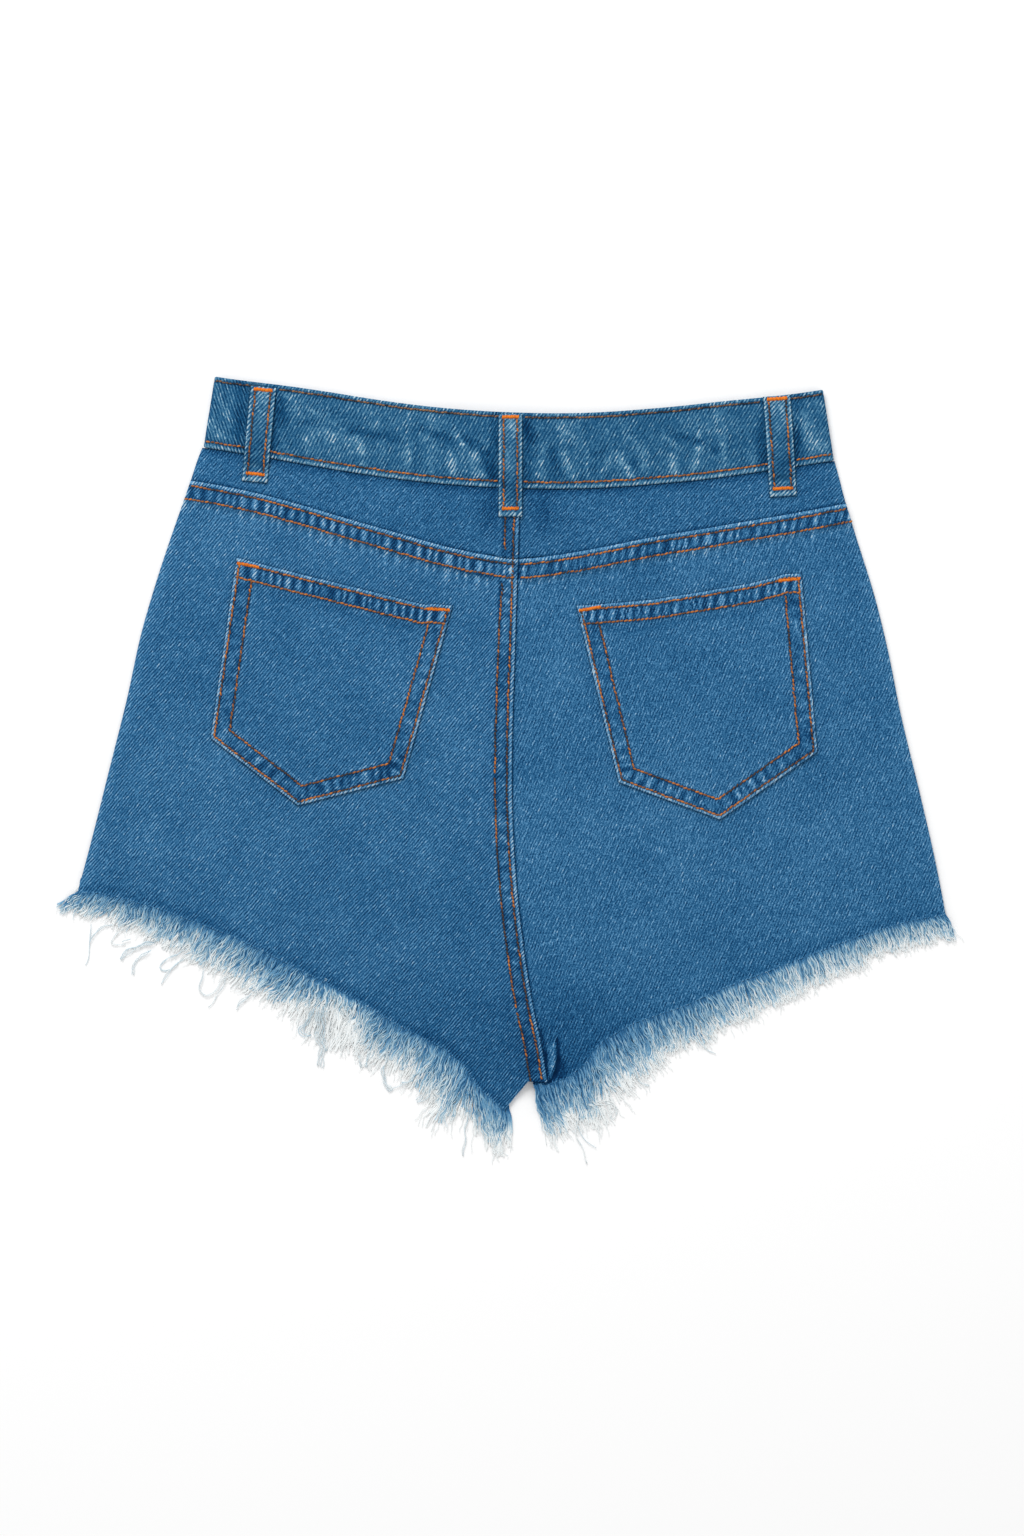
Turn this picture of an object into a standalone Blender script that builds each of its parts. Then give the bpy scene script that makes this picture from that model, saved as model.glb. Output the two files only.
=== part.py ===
"""Cut-off denim shorts, laid flat on their front with the back upwards.

The waist points along +Y, the back faces +Z and the front rests on z = 0. "Left" is the
side of -X, which is the wearer's left. Lengths are in millimetres, turned to metres where
a mesh is made.
"""

import math
from collections import namedtuple

import bmesh
import bpy
import numpy as np

MM = 0.001

# Cloth
WALL = 1.0  # one layer of denim
GAP = 0.3  # between pieces that meet or lie on each other
LAP = WALL + GAP  # how far a piece stands up over the one it laps
LAP_WIDTH = 11.5
LAP_SLOPE = 2.5  # stretch over which a lap sinks back to the cloth beside it
TONGUE = 8.0  # how far the lapped piece runs on under a lap

# Waistband
BAND_WALL = 1.8
BAND_HEIGHT = 43.6  # at the centre of the back
BAND_SIDE_HEIGHT = 41.4  # at the side folds
BAND_TAPER = (110.0, 180.0)  # stretch over which the height changes, by the distance from x = 0
BAND_TOP = 5.4  # outer height of the upper layer
YOKE_DROP = 1.5  # the yoke's outer side under that of the band
FRONT_DROP = 0.8  # the front's outer side over that of the band's lower layer
BAND_END = 4.0  # x of the buttoned end, which lies outside
UNDERLAP_END = -32.0  # x of the other end, inside it
FLY_RISE = 0.85  # how far that underlap lifts the back
FLY_MIDDLE = -9.0

# Button and belt loops
BUTTON_X = -14.0
BUTTON_RADIUS = 8.5
BUTTON_DEPTH = 1.8
BUTTON_RISE = BUTTON_DEPTH + GAP
LOOP_WALL = 1.2
LOOP_RISE = LOOP_WALL + GAP
LOOP_ARCH = 1.0  # slack of a belt loop over the band
LOOP_FOOT = 15.0  # stretch of a front loop below the band
FRONT_LOOP_X = 80.0
FRONT_LOOP_WIDTH = 13.5

# Edges
EDGE_HEIGHT = 2.25  # outer height of the back at the side seams and the inseam
EDGE_WIDTH = 9.0  # stretch over which the back rises from there
FRONT_HEM_RISE = 8.0  # the front hem above the back hem, but for the crotch
CROTCH_X = 20.0
CROTCH_REACH = 60.0
INSEAM_SHORTER = 0.15  # share by which the front inseam is the shorter one
POCKET_HEM = 11.0
POCKET_BORDER = 9.5
POCKET_RISE = 0.4  # folded-in edges of a pocket

# Fringe
FRINGE_GAP = 0.8  # between a cut edge and the strip that carries its fringe
STRIP_WIDTH = 3.0
STRIP_INSET = 1.2  # of the strip's ends from those of the cut edge
FRINGE_SEED = 11

DENIM = (0.038, 0.143, 0.289)
BAND_DENIM = (0.047, 0.136, 0.240)
FRAYED = (0.250, 0.400, 0.515)
METAL = (0.450, 0.330, 0.190)

# Outline of the hips, from the waistband down
Side = namedtuple("Side", "y left right")
SIDES = (
    Side(190, -180.0, 183.0),
    Side(176, -185.2, 187.3),
    Side(162, -189.4, 191.2),
    Side(141, -196.4, 198.1),
    Side(106, -207.3, 209.8),
    Side(78, -214.9, 217.4),
    Side(36, -223.3, 226.9),
    Side(-6, -232.9, 238.0),
    Side(-47, -242.3, 248.3),
    Side(-90, -253.0, 257.5),
)

# Folded edge of the centre seam, where the left lies over the right
Seam = namedtuple("Seam", "y x")
CENTRE_SEAM = (
    Seam(220, 2.5),
    Seam(148, 2.3),
    Seam(70, 1.5),
    Seam(12, 1.0),
    Seam(-17, 1.6),
    Seam(-46, 3.4),
    Seam(-75, 6.3),
    Seam(-104, 10.4),
    Seam(-133, 15.6),
    Seam(-161, 22.0),
    Seam(-180, 25.5),
)

# Lower edge of the waistband, and the folded edge where the back laps over the yoke
Across = namedtuple("Across", "x y")
BAND_EDGE = (
    Across(-181.5, 184.2),
    Across(-143, 178.8),
    Across(-119, 175.0),
    Across(-67, 168.1),
    Across(-35, 165.3),
    Across(0, 164.1),
    Across(49, 165.5),
    Across(78, 168.1),
    Across(107, 171.4),
    Across(142, 176.8),
    Across(184.5, 184.2),
)
YOKE_EDGE = (
    Across(-192, 165.0),
    Across(-171, 161.7),
    Across(-148, 157.4),
    Across(-125, 151.8),
    Across(-95.5, 143.7),
    Across(-66.4, 136.1),
    Across(-37.2, 128.6),
    Across(-19.7, 125.3),
    Across(0, 122.9),
    Across(27, 125.9),
    Across(50, 130.5),
    Across(79, 136.9),
    Across(107.5, 142.2),
    Across(136.4, 147.8),
    Across(165.3, 153.4),
    Across(196, 160.0),
)

# Cut edges of the back, from the side to the inseam
HEM_LEFT = (
    Across(-238.9, -75.8),
    Across(-226.6, -77.8),
    Across(-200.4, -84.8),
    Across(-180, -91.9),
    Across(-159.5, -99.1),
    Across(-139, -108.5),
    Across(-107.3, -123.8),
    Across(-86.2, -134.7),
    Across(-61.6, -149.0),
    Across(-35.2, -162.0),
    Across(-22.2, -172.2),
    Across(-14.4, -184.0),
)
HEM_RIGHT = (
    Across(245, -80.1),
    Across(234.6, -82.1),
    Across(207, -90.8),
    Across(186, -99.5),
    Across(153.5, -112.8),
    Across(124.7, -124.5),
    Across(104.1, -134.5),
    Across(75.2, -145.0),
    Across(59.8, -154.2),
    Across(52.5, -161.5),
    Across(47.0, -169.8),
    Across(38.5, -177.0),
    Across(27.5, -181.2),
)
HEM_START_Y = {"left": -76.0, "right": -78.4}
INSEAM = (Across(0.9, -197.2), Across(14.5, -179.8))
CROTCH = Across(25.5, -180.0)
RIGHT_CORNER = Across(17.6, -181.6)

# Outer height of the back between its seams
Loft = namedtuple("Loft", "y height")
LOFTS = (
    Loft(-210, 3.7),
    Loft(-120, 3.6),
    Loft(-60, 3.65),
    Loft(40, 3.75),
    Loft(120, 3.8),
    Loft(160, BAND_TOP - YOKE_DROP),
)

# Broad, shallow folds of the back: middle, lengths along and across, direction, height
Fold = namedtuple("Fold", "x y along across angle height")
FOLDS = (
    Fold(-205, 60, 90, 16, 78, 0.35),
    Fold(-95, -70, 90, 28, 40, 0.30),
    Fold(-50, 20, 70, 12, 95, -0.25),
    Fold(60, -80, 80, 26, 118, 0.30),
    Fold(185, -20, 90, 24, 105, -0.30),
    Fold(215, 40, 80, 14, 100, 0.35),
    Fold(34, -160, 16, 5, 105, 0.50),
)

# Outline of the patch pockets
Pocket = namedtuple("Pocket", "name top_start top_end foot_start tip foot_end")
POCKETS = (
    Pocket(
        "pocket_left",
        Across(-160.6, 120.2),
        Across(-35.3, 95.0),
        Across(-173.5, 15.5),
        Across(-122.2, -22.3),
        Across(-61.7, -5.4),
    ),
    Pocket(
        "pocket_right",
        Across(37.1, 96.5),
        Across(166.6, 117.8),
        Across(63.6, -5.0),
        Across(122.6, -25.3),
        Across(178.1, 14.8),
    ),
)

# Belt loops of the back: middle of the foot and of the top, width, height of the cloth below
Loop = namedtuple("Loop", "name foot top width seam")
BACK_LOOPS = (
    Loop("loop_back_left", Across(-151.3, 164.8), Across(-147.2, 219.6), 14.3, 0),
    Loop("loop_back_middle", Across(-2.6, 147.5), Across(-3.8, 206.6), 13.2, LAP),
    Loop("loop_back_right", Across(155.4, 162.8), Across(150.3, 220.6), 15.2, 0),
)

# Frayed edges: distance along the hem as a fraction, length of the strands, and their lean
# towards the side seam in degrees
Fray = namedtuple("Fray", "along length lean")
FRAY_LEFT = (
    Fray(0.00, 18, 46),
    Fray(0.05, 15, 30),
    Fray(0.12, 14, 8),
    Fray(0.22, 14, 4),
    Fray(0.30, 20, 4),
    Fray(0.42, 18, 6),
    Fray(0.50, 24, 2),
    Fray(0.57, 36, -8),
    Fray(0.63, 38, -10),
    Fray(0.69, 24, -4),
    Fray(0.78, 25, -8),
    Fray(0.88, 28, -12),
    Fray(0.95, 30, -12),
    Fray(1.00, 24, -6),
)
FRAY_RIGHT = (
    Fray(0.00, 15, 24),
    Fray(0.05, 13, 16),
    Fray(0.12, 12, 6),
    Fray(0.20, 12, 0),
    Fray(0.36, 15, 0),
    Fray(0.45, 18, 2),
    Fray(0.60, 21, 0),
    Fray(0.68, 25, -4),
    Fray(0.80, 27, -6),
    Fray(0.90, 36, -8),
    Fray(1.00, 28, 0),
)
Fringe = namedtuple("Fringe", "name layer side frays count longer tip")
FRINGES = (
    Fringe("fringe_back_left", "back", "left", FRAY_LEFT, 66, 0, 1.9),
    Fringe("fringe_back_right", "back", "right", FRAY_RIGHT, 60, 0, 1.9),
    Fringe("fringe_front_left", "front", "left", FRAY_LEFT, 52, 10, 0.65),
    Fringe("fringe_front_right", "front", "right", FRAY_RIGHT, 48, 10, 0.65),
)
# Rings of a strand: share of its length, and width and depth as shares of the ring before
Ring = namedtuple("Ring", "reach width depth")
STRAND_RINGS = (Ring(0.16, 0.72, 0.60), Ring(0.62, 0.64, 0.83))

# Lines of points across a sheet: distances from its first edge, even steps, from its last
Spacing = namedtuple("Spacing", "near steps far")
EDGE_COLUMNS = (0, 2.5, 5.5, 9)


class Line:
    """A line through points of the plane, followed from 0 at its start to 1 at its end."""

    def __init__(self, points, spots=None):
        self.points = np.array(points, float)
        steps = np.linalg.norm(np.diff(self.points, axis=0), axis=1)
        reach = np.concatenate(([0], np.cumsum(steps)))
        self.length = reach[-1]
        self.spots = reach / self.length if spots is None else spots

    def at(self, t):
        return np.array([np.interp(t, self.spots, self.points[:, k]) for k in (0, 1)])

    def normal(self, t, span=5.0):
        """The unit normal to the right of the line's direction, evened out over a span."""
        half = span / self.length
        x, y = self.at(min(t + half, 1)) - self.at(max(t - half, 0))
        return np.array([y, -x]) / math.hypot(x, y)


def reader(rows, by, value):
    """A smooth function that reads one column of a table by another."""
    table = sorted((getattr(row, by), getattr(row, value)) for row in rows)
    places, values = np.array(table, float).T
    slopes = np.gradient(values, places)

    def read(at):
        at = min(max(at, places[0]), places[-1])
        k = min(max(int(np.searchsorted(places, at)) - 1, 0), len(places) - 2)
        step = places[k + 1] - places[k]
        t = (at - places[k]) / step
        near = values[k] * (1 + 2 * t) + slopes[k] * step * t
        far = values[k + 1] * (3 - 2 * t) + slopes[k + 1] * step * (t - 1)
        return float(near * (1 - t) ** 2 + far * t**2)

    return read


left_x = reader(SIDES, "y", "left")
right_x = reader(SIDES, "y", "right")
seam_x = reader(CENTRE_SEAM, "y", "x")
band_y = reader(BAND_EDGE, "x", "y")
yoke_y = reader(YOKE_EDGE, "x", "y")
loft_z = reader(LOFTS, "y", "height")


def tongue_x(y):
    """Hidden edge of a right panel, which runs on under the left one."""
    return seam_x(y) - TONGUE


side_x = {"left": left_x, "right": right_x}
centre_x = {"left": seam_x, "right": tongue_x}


def ease(x):
    x = min(max(x, 0), 1)
    return x * x * (3 - 2 * x)


def plateau(distance, flat, reach):
    """1 up to flat from the middle, easing down to 0 at reach."""
    return ease((reach - abs(distance)) / (reach - flat))


def band_rise(x):
    """How far the fly and the button lift the back of the band."""
    underlap = FLY_RISE * plateau(x - FLY_MIDDLE, 30, 80)
    return underlap + (BUTTON_RISE + 0.05) * plateau(x - BUTTON_X, 12, 50)


def front_lift(x):
    """How far the button and the front loops lift the front of the band."""
    loops = sum(plateau(x - side * FRONT_LOOP_X, 16, 36) for side in (-1, 1))
    return LOOP_RISE * loops + BUTTON_RISE * plateau(x - BUTTON_X, 9.5, 30)


def to_segment(x, y, start, end):
    """Distance from a point to the stretch between two others."""
    start, end, point = np.array(start), np.array(end), np.array((x, y))
    share = np.dot(point - start, end - start) / np.dot(end - start, end - start)
    return float(np.linalg.norm(point - start - min(max(share, 0), 1) * (end - start)))


def fold_height(fold, x, y):
    turn = math.radians(fold.angle)
    along = (x - fold.x) * math.cos(turn) + (y - fold.y) * math.sin(turn)
    across = (y - fold.y) * math.cos(turn) - (x - fold.x) * math.sin(turn)
    return fold.height * math.exp(-((along / fold.along) ** 2) - (across / fold.across) ** 2)


def back_height(x, y):
    """Outer height of the back, without its lapped seams."""
    below = band_y(x) - y
    loft = loft_z(y) + band_rise(x) * ease(1 - below / 70)
    loft += sum(fold_height(fold, x, y) for fold in FOLDS) * ease(below / 40)
    inseam = to_segment(x, y, INSEAM[0], np.mean(INSEAM, axis=0))
    inset = min(x - left_x(y), right_x(y) - x, inseam)
    slack = min(max(1 - inset / EDGE_WIDTH, 0), 1)
    return EDGE_HEIGHT + (loft - EDGE_HEIGHT) * (1 - slack**2)


def lap(distance):
    """Rise of a piece over the one it laps, by the distance from its folded edge."""
    return LAP * plateau(max(distance, 0), LAP_WIDTH, LAP_WIDTH + LAP_SLOPE)


def yoke_left_height(x, y):
    return back_height(x, y) + lap(seam_x(y) - x)


def back_left_height(x, y):
    return back_height(x, y) + max(lap(yoke_y(x) - y), lap(seam_x(y) - x))


def back_right_height(x, y):
    """The right lies under the left at the centre seam, where no yoke lies under it."""
    return back_height(x, y) + lap(yoke_y(x) - y) * ease((x - seam_x(y)) / 6)


def front_left_height(x, y):
    """Outer height of the front, which is its underside here."""
    below = band_y(x) - y
    inset = min(x - left_x(y), right_x(y) - x)
    drop = FRONT_DROP * ease(1 - below / 15) * ease((inset - 6) / 14)
    return max(front_lift(x) * ease((50 - below) / 30), drop)


def front_right_height(x, y):
    """The right lies over the left at the centre seam, as seen from the floor."""
    return front_left_height(x, y) + LAP * ease((5 - x + seam_x(y)) / 3)


def waist_y(x):
    """Upper edge of the pieces that hang from the band."""
    return band_y(x) - GAP


def yoke_foot(x):
    """Lower edge of the yoke, which runs under the back but for the centre seam."""
    return yoke_y(x) + GAP - (TONGUE + GAP) * ease((abs(x - seam_x(122)) - 18) / 6)


def meet(seam, edge):
    """The point where a seam, y by x, meets an edge, x by y."""
    y = seam(0)
    for _ in range(20):
        x = edge(y)
        y = seam(x)
    return x, y


def across(seam, start, end, steps=40):
    return Line([(x, seam(x)) for x in np.linspace(start[0], end[0], steps + 1)])


def down(edge, start, end, steps=24):
    return Line([(edge(y), y) for y in np.linspace(start[1], end[1], steps + 1)])


def stations(length, spacing):
    """Places of the lines of points across a length, from 0 to 1."""
    near, far = np.array(spacing.near), length - np.array(spacing.far)
    between = np.linspace(near[-1], far[0], spacing.steps + 1)[1:-1]
    return np.concatenate((near, between, far)) / length


def patch(top, bottom, start, end, columns, rows):
    """Points of a sheet between four lines, by rows from top to bottom (a Coons patch)."""
    corners = [[top.at(0), top.at(1)], [bottom.at(0), bottom.at(1)]]
    grid = []
    for row, v_mean in enumerate(stations((start.length + end.length) / 2, rows)):
        width = top.length * (1 - v_mean) + bottom.length * v_mean
        line = []
        for u in stations(width, columns):
            v = stations(start.length * (1 - u) + end.length * u, rows)[row]
            ruled = (1 - v) * top.at(u) + v * bottom.at(u) + (1 - u) * start.at(v) + u * end.at(v)
            shared = sum(
                (v if low else 1 - v) * (u if far else 1 - u) * corners[low][far]
                for low in (0, 1)
                for far in (0, 1)
            )
            line.append(ruled - shared)
        grid.append(line)
    return np.array(grid)


def raised(grid, height):
    """The points of a flat grid, each at its height."""
    return np.array([[(x, y, height(x, y)) for x, y in row] for row in grid])


def material(name, colour, roughness, metallic=0.0):
    made = bpy.data.materials.new(name)
    made.use_nodes = True
    made.diffuse_color = (*colour, 1)
    shader = made.node_tree.nodes["Principled BSDF"]
    shader.inputs["Base Color"].default_value = (*colour, 1)
    shader.inputs["Roughness"].default_value = roughness
    shader.inputs["Metallic"].default_value = metallic
    return made


def add_object(name, bm, colour, roughness=0.85, metallic=0.0):
    mesh = bpy.data.meshes.new(name)
    bm.to_mesh(mesh)
    bm.free()
    mesh.materials.append(material(name, colour, roughness, metallic))
    mesh.shade_smooth()
    mesh.set_sharp_from_angle(angle=math.radians(35))
    made = bpy.data.objects.new(name, mesh)
    bpy.data.collections["denim_shorts"].objects.link(made)
    return made


def sheet(bm, points, up):
    """Lays a grid of faces through rows of points, with its outer side up or down."""
    rows, columns = points.shape[:2]
    made = bmesh.ops.create_grid(bm, x_segments=columns - 1, y_segments=rows - 1, size=1)
    for vertex, point in zip(made["verts"], points.reshape(-1, 3)):
        vertex.co = point * MM
    bm.normal_update()
    if (sum(face.normal.z * face.calc_area() for face in bm.faces) > 0) != up:
        bmesh.ops.reverse_faces(bm, faces=bm.faces[:])


def cloth(name, points, up=True, wall=WALL, colour=DENIM):
    """A wall of cloth inside rows of points on its outer side."""
    bm = bmesh.new()
    sheet(bm, points, up)
    made = add_object(name, bm, colour)
    solid = made.modifiers.new("Wall", "SOLIDIFY")
    solid.thickness = wall * MM
    solid.offset = -1
    solid.use_even_offset = True
    solid.use_quality_normals = True
    return made


def hem_points(side):
    """The cut edge of the back, from the side seam to the crotch."""
    y = HEM_START_Y[side]
    start = (side_x[side](y), y)
    if side == "left":
        return [start, *HEM_LEFT, *INSEAM, CROTCH]
    return [start, *HEM_RIGHT, RIGHT_CORNER]


def front_hem_points(side):
    """The cut edge of the front, above that of the back but for the crotch."""
    hem = hem_points(side)
    end = []
    if side == "left":
        leg, crotch = np.array(INSEAM)
        end = [leg + INSEAM_SHORTER * (crotch - leg), crotch, CROTCH]
        hem = hem[:-3]
    shifted = [
        (x, y + FRONT_HEM_RISE * ease(abs(x - CROTCH_X) / CROTCH_REACH)) for x, y in hem[1:]
    ]
    y = hem[0][1] + FRONT_HEM_RISE
    return [(side_x[side](y), y), *shifted, *end]


def make_back(side):
    """One half of the back below the yoke, and the cut edge of its points."""
    left = side == "left"
    top_side, top_centre = meet(yoke_y, side_x[side]), meet(yoke_y, centre_x[side])
    hem = hem_points(side)
    inseam = Line(hem[-3:]).length
    past_hem = (22, 14, 11, 5.5, 0)
    far = (inseam + 15, inseam, *past_hem) if left else (26, 14, 8, 3, 0)
    grid = patch(
        across(yoke_y, top_side, top_centre),
        Line(hem),
        down(side_x[side], top_side, hem[0]),
        down(centre_x[side], top_centre, hem[-1]),
        Spacing(EDGE_COLUMNS, 11, far),
        Spacing((0, 5.5, 11, 14), 11, (4, 0)),
    )
    height = back_left_height if left else back_right_height
    cloth(f"back_{side}", raised(grid, height))
    return grid[-1][: -len(past_hem)] if left else grid[-1]


def make_yoke(side):
    left = side == "left"
    top_side, top_centre = meet(waist_y, side_x[side]), meet(waist_y, centre_x[side])
    foot_side, foot_centre = meet(yoke_foot, side_x[side]), meet(yoke_foot, centre_x[side])
    grid = patch(
        across(waist_y, top_side, top_centre),
        across(yoke_foot, foot_side, foot_centre, 80),
        down(side_x[side], top_side, foot_side),
        down(centre_x[side], top_centre, foot_centre),
        Spacing(EDGE_COLUMNS, 8, (22, 16, 11, 5.5, 0) if left else (30, 24, 8, 3, 0)),
        Spacing((0,), 4, (0,)),
    )
    cloth(f"yoke_{side}", raised(grid, yoke_left_height if left else back_height))


def make_front(side):
    """One half of the front, plain, with the underlap of the centre seam on the right."""
    left = side == "left"
    top_side, top_centre = meet(waist_y, side_x[side]), meet(waist_y, centre_x[side])
    hem = front_hem_points(side)
    inseam = Line(hem[-3:]).length
    past_hem = (20, 14, 9, 4.5, 0)
    grid = patch(
        across(waist_y, top_side, top_centre),
        Line(hem),
        down(side_x[side], top_side, hem[0]),
        down(centre_x[side], top_centre, hem[-1]),
        Spacing((0, 6, 20), 12, (inseam, *past_hem) if left else (20, 13.5, 10, 5, 0)),
        Spacing((0, 6, 15, 22, 36, 50), 6, (4, 0)),
    )
    height = front_left_height if left else front_right_height
    cloth(f"front_{side}", raised(grid, height), up=False)
    return grid[-1][: -len(past_hem)] if left else grid[-1]


def band_height(x):
    start, end = BAND_TAPER
    return BAND_HEIGHT + (BAND_SIDE_HEIGHT - BAND_HEIGHT) * ease((abs(x) - start) / (end - start))


def band_stations(start, end):
    """Places along the band, close together where the fly and the button lift it."""
    places = [*range(-165, -60, 17), *range(-60, 52, 6), *range(54, 175, 17)]
    low, high = sorted((start, end))
    inside = [x for x in places if low + 3 < x < high - 3]
    return [start, *(inside if start < end else inside[::-1]), end]


def band_fold(edge_x, side, turns):
    """Places and heights round the fold at one side, by the angle above its middle."""
    radius = BAND_TOP / 2
    for turn in map(math.radians, turns):
        yield edge_x + side * radius * (math.cos(turn) - 1), radius * (1 + math.sin(turn))


def make_waistband():
    """A ring pressed flat: from its outer end round the left fold, across the back, round
    the right fold and on to the inner end, under the outer one."""
    left, right = BAND_EDGE[0].x, BAND_EDGE[-1].x
    edge = across(band_y, BAND_EDGE[0], BAND_EDGE[-1], 120)
    down_left, up_right = (90, 60, 30, 0, -30, -60, -90)[::-1], (90, 60, 30, 0, -30, -60, -90)
    clear = BAND_TOP / 2 + 4

    path = [(x, front_lift(x)) for x in band_stations(BAND_END, left + clear)]
    path += band_fold(left, -1, down_left)
    path += [(x, BAND_TOP + band_rise(x)) for x in band_stations(left + clear, right - clear)]
    path += band_fold(right, 1, up_right)
    for x in band_stations(right - clear, UNDERLAP_END):
        path.append((x, front_lift(x) + (BAND_WALL + GAP) * ease((20 - x) / 14)))

    points = []
    for share in (0, 0.5, 1):
        row = []
        for x, z in path:
            t = float(np.interp(x, edge.points[:, 0], edge.spots))
            row.append((*edge.at(t) - edge.normal(t, 20) * share * band_height(x), z))
        points.append(row)
    # The underlap makes the floor side the larger one, so that side sets which way is out.
    cloth("waistband", np.array(points), up=False, wall=BAND_WALL, colour=BAND_DENIM)


def make_pocket(pocket):
    """A patch pocket, made from the points of the back moved out."""
    top = Line((pocket.top_start, pocket.top_end))
    bottom = Line((pocket.foot_start, pocket.tip, pocket.foot_end), (0, 0.5, 1))
    start = Line((pocket.top_start, pocket.foot_start))
    end = Line((pocket.top_end, pocket.foot_end))
    rim = (pocket.top_end, pocket.foot_end, pocket.tip, pocket.foot_start, pocket.top_start)
    below = back_left_height if pocket.name.endswith("left") else back_right_height

    def height(x, y):
        border = min(to_segment(x, y, a, b) for a, b in zip(rim, rim[1:]))
        hem = to_segment(x, y, pocket.top_start, pocket.top_end)
        folded = max(plateau(border, POCKET_BORDER, 12), plateau(hem, POCKET_HEM, 13.5))
        return below(x, y) + LAP + POCKET_RISE * folded

    columns = Spacing((0, 9, 12), 4, (12, 9, 0))
    rows = Spacing((0, 10.5, 13.5), 4, (12, 9, 0))
    cloth(pocket.name, raised(patch(top, bottom, start, end, columns, rows), height))


def ribbon(foot, top, width, distances):
    """Rows of three points across a straight ribbon, at distances from its foot."""
    foot, top = np.array(foot), np.array(top)
    along = (top - foot) / np.linalg.norm(top - foot)
    side = np.array([along[1], -along[0]]) * width / 2
    return np.array([[foot + along * d + side * s for s in (-1, 0, 1)] for d in distances])


def make_back_loop(loop):
    """A belt loop over the band, with its foot on the yoke and slack in the middle."""
    length = math.dist(loop.foot, loop.top)
    step = band_y(loop.foot.x) - loop.foot.y
    slack_start, slack_end = step - 3, length - 5
    steps = np.linspace(step + 4, length - 9, 4)
    distances = (0, 5, step - 7, slack_start, *steps, slack_end, length)
    points = []
    for distance, row in zip(distances, ribbon(loop.foot, loop.top, loop.width, distances)):
        share = (distance - slack_start) / (slack_end - slack_start)
        arch = LOOP_ARCH * math.sin(math.pi * min(max(share, 0), 1))
        climb = ease((distance - step + 7) / 4)
        line = []
        for x, y in row:
            yoke = back_height(x, min(y, band_y(x))) + loop.seam
            below = yoke + (BAND_TOP + band_rise(x) - yoke) * climb
            line.append((x, y, below + GAP + LOOP_WALL + arch))
        points.append(line)
    cloth(loop.name, np.array(points), wall=LOOP_WALL, colour=BAND_DENIM)


def make_front_loop(side, x):
    """A belt loop pressed flat between the band and the floor."""
    reach = BAND_HEIGHT + LOOP_FOOT - 2
    turn = math.atan2(band_y(x + 10) - band_y(x - 10), 20)
    along = np.array([-math.sin(turn), math.cos(turn)])
    foot = np.array([x, band_y(x)]) - along * LOOP_FOOT
    rows = ribbon(foot, foot + along * reach, FRONT_LOOP_WIDTH, (0, reach / 2, reach))
    points = raised(rows, lambda x, y: 0)
    cloth(f"loop_front_{side}", points, up=False, wall=LOOP_WALL, colour=BAND_DENIM)


def make_button():
    bm = bmesh.new()
    bmesh.ops.create_cone(
        bm,
        cap_ends=True,
        segments=28,
        radius1=BUTTON_RADIUS * MM,
        radius2=BUTTON_RADIUS * MM,
        depth=BUTTON_DEPTH * MM,
    )
    made = add_object("button", bm, METAL, roughness=0.4, metallic=1.0)
    y = band_y(BUTTON_X) + BAND_HEIGHT / 2
    made.location = (BUTTON_X * MM, y * MM, BUTTON_DEPTH / 2 * MM)
    edge = made.modifiers.new("Rounded edge", "BEVEL")
    edge.width = 0.4 * MM
    edge.segments = 1


def fringe_strip(bm, line, spots, sign, height):
    """A narrow strip along a cut edge, parted from it, and the faces of its free side."""
    reach = (FRINGE_GAP, FRINGE_GAP + STRIP_WIDTH)
    rows = [[line.at(t) + sign * line.normal(t, 9) * d for t in spots] for d in reach]
    sheet(bm, raised(np.array(rows), height), up=True)
    top = bm.faces[:]
    free = sorted(bm.verts, key=lambda vertex: vertex.index)[-len(spots) :]
    grown = bmesh.ops.extrude_face_region(bm, geom=top, use_keep_orig=True)
    lower = [item for item in grown["geom"] if isinstance(item, bmesh.types.BMVert)]
    bmesh.ops.translate(bm, verts=lower, vec=(0, 0, -WALL * MM))
    bmesh.ops.recalc_face_normals(bm, faces=bm.faces[:])
    edges = [bm.edges.get(pair) for pair in zip(free, free[1:])]
    return [next(face for face in edge.link_faces if face not in top) for edge in edges]


def strand_paths(fringe, line, spots, sign, starts):
    """For each strand, the function that gives its middle at a share of its length."""
    rng = np.random.default_rng(FRINGE_SEED)
    length_at = reader(fringe.frays, "along", "length")
    lean_at = reader(fringe.frays, "along", "lean")
    wander = 7 * np.sin(np.cumsum(rng.normal(0, 0.45, len(starts))))
    sideways = -1 if fringe.side == "left" else 1
    paths = []
    for start, spot, sway in zip(starts, (spots[:-1] + spots[1:]) / 2, wander):
        length = (length_at(spot) + fringe.longer) * rng.uniform(0.82, 1.04)
        lean = math.radians(sideways * lean_at(spot) + sway + rng.uniform(-4, 4))
        away = math.atan2(*(sign * line.normal(spot, 9))[::-1])

        def middle(reach, start=start, length=length, lean=lean, away=away):
            turn = away + lean * (0.4 + 0.6 * reach)
            x = start[0] + length * reach * math.cos(turn)
            y = start[1] + length * reach * math.sin(turn)
            return np.array((x, y, start[2] + (fringe.tip - start[2]) * ease(reach * 1.5)))

        paths.append(middle)
    return paths


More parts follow.
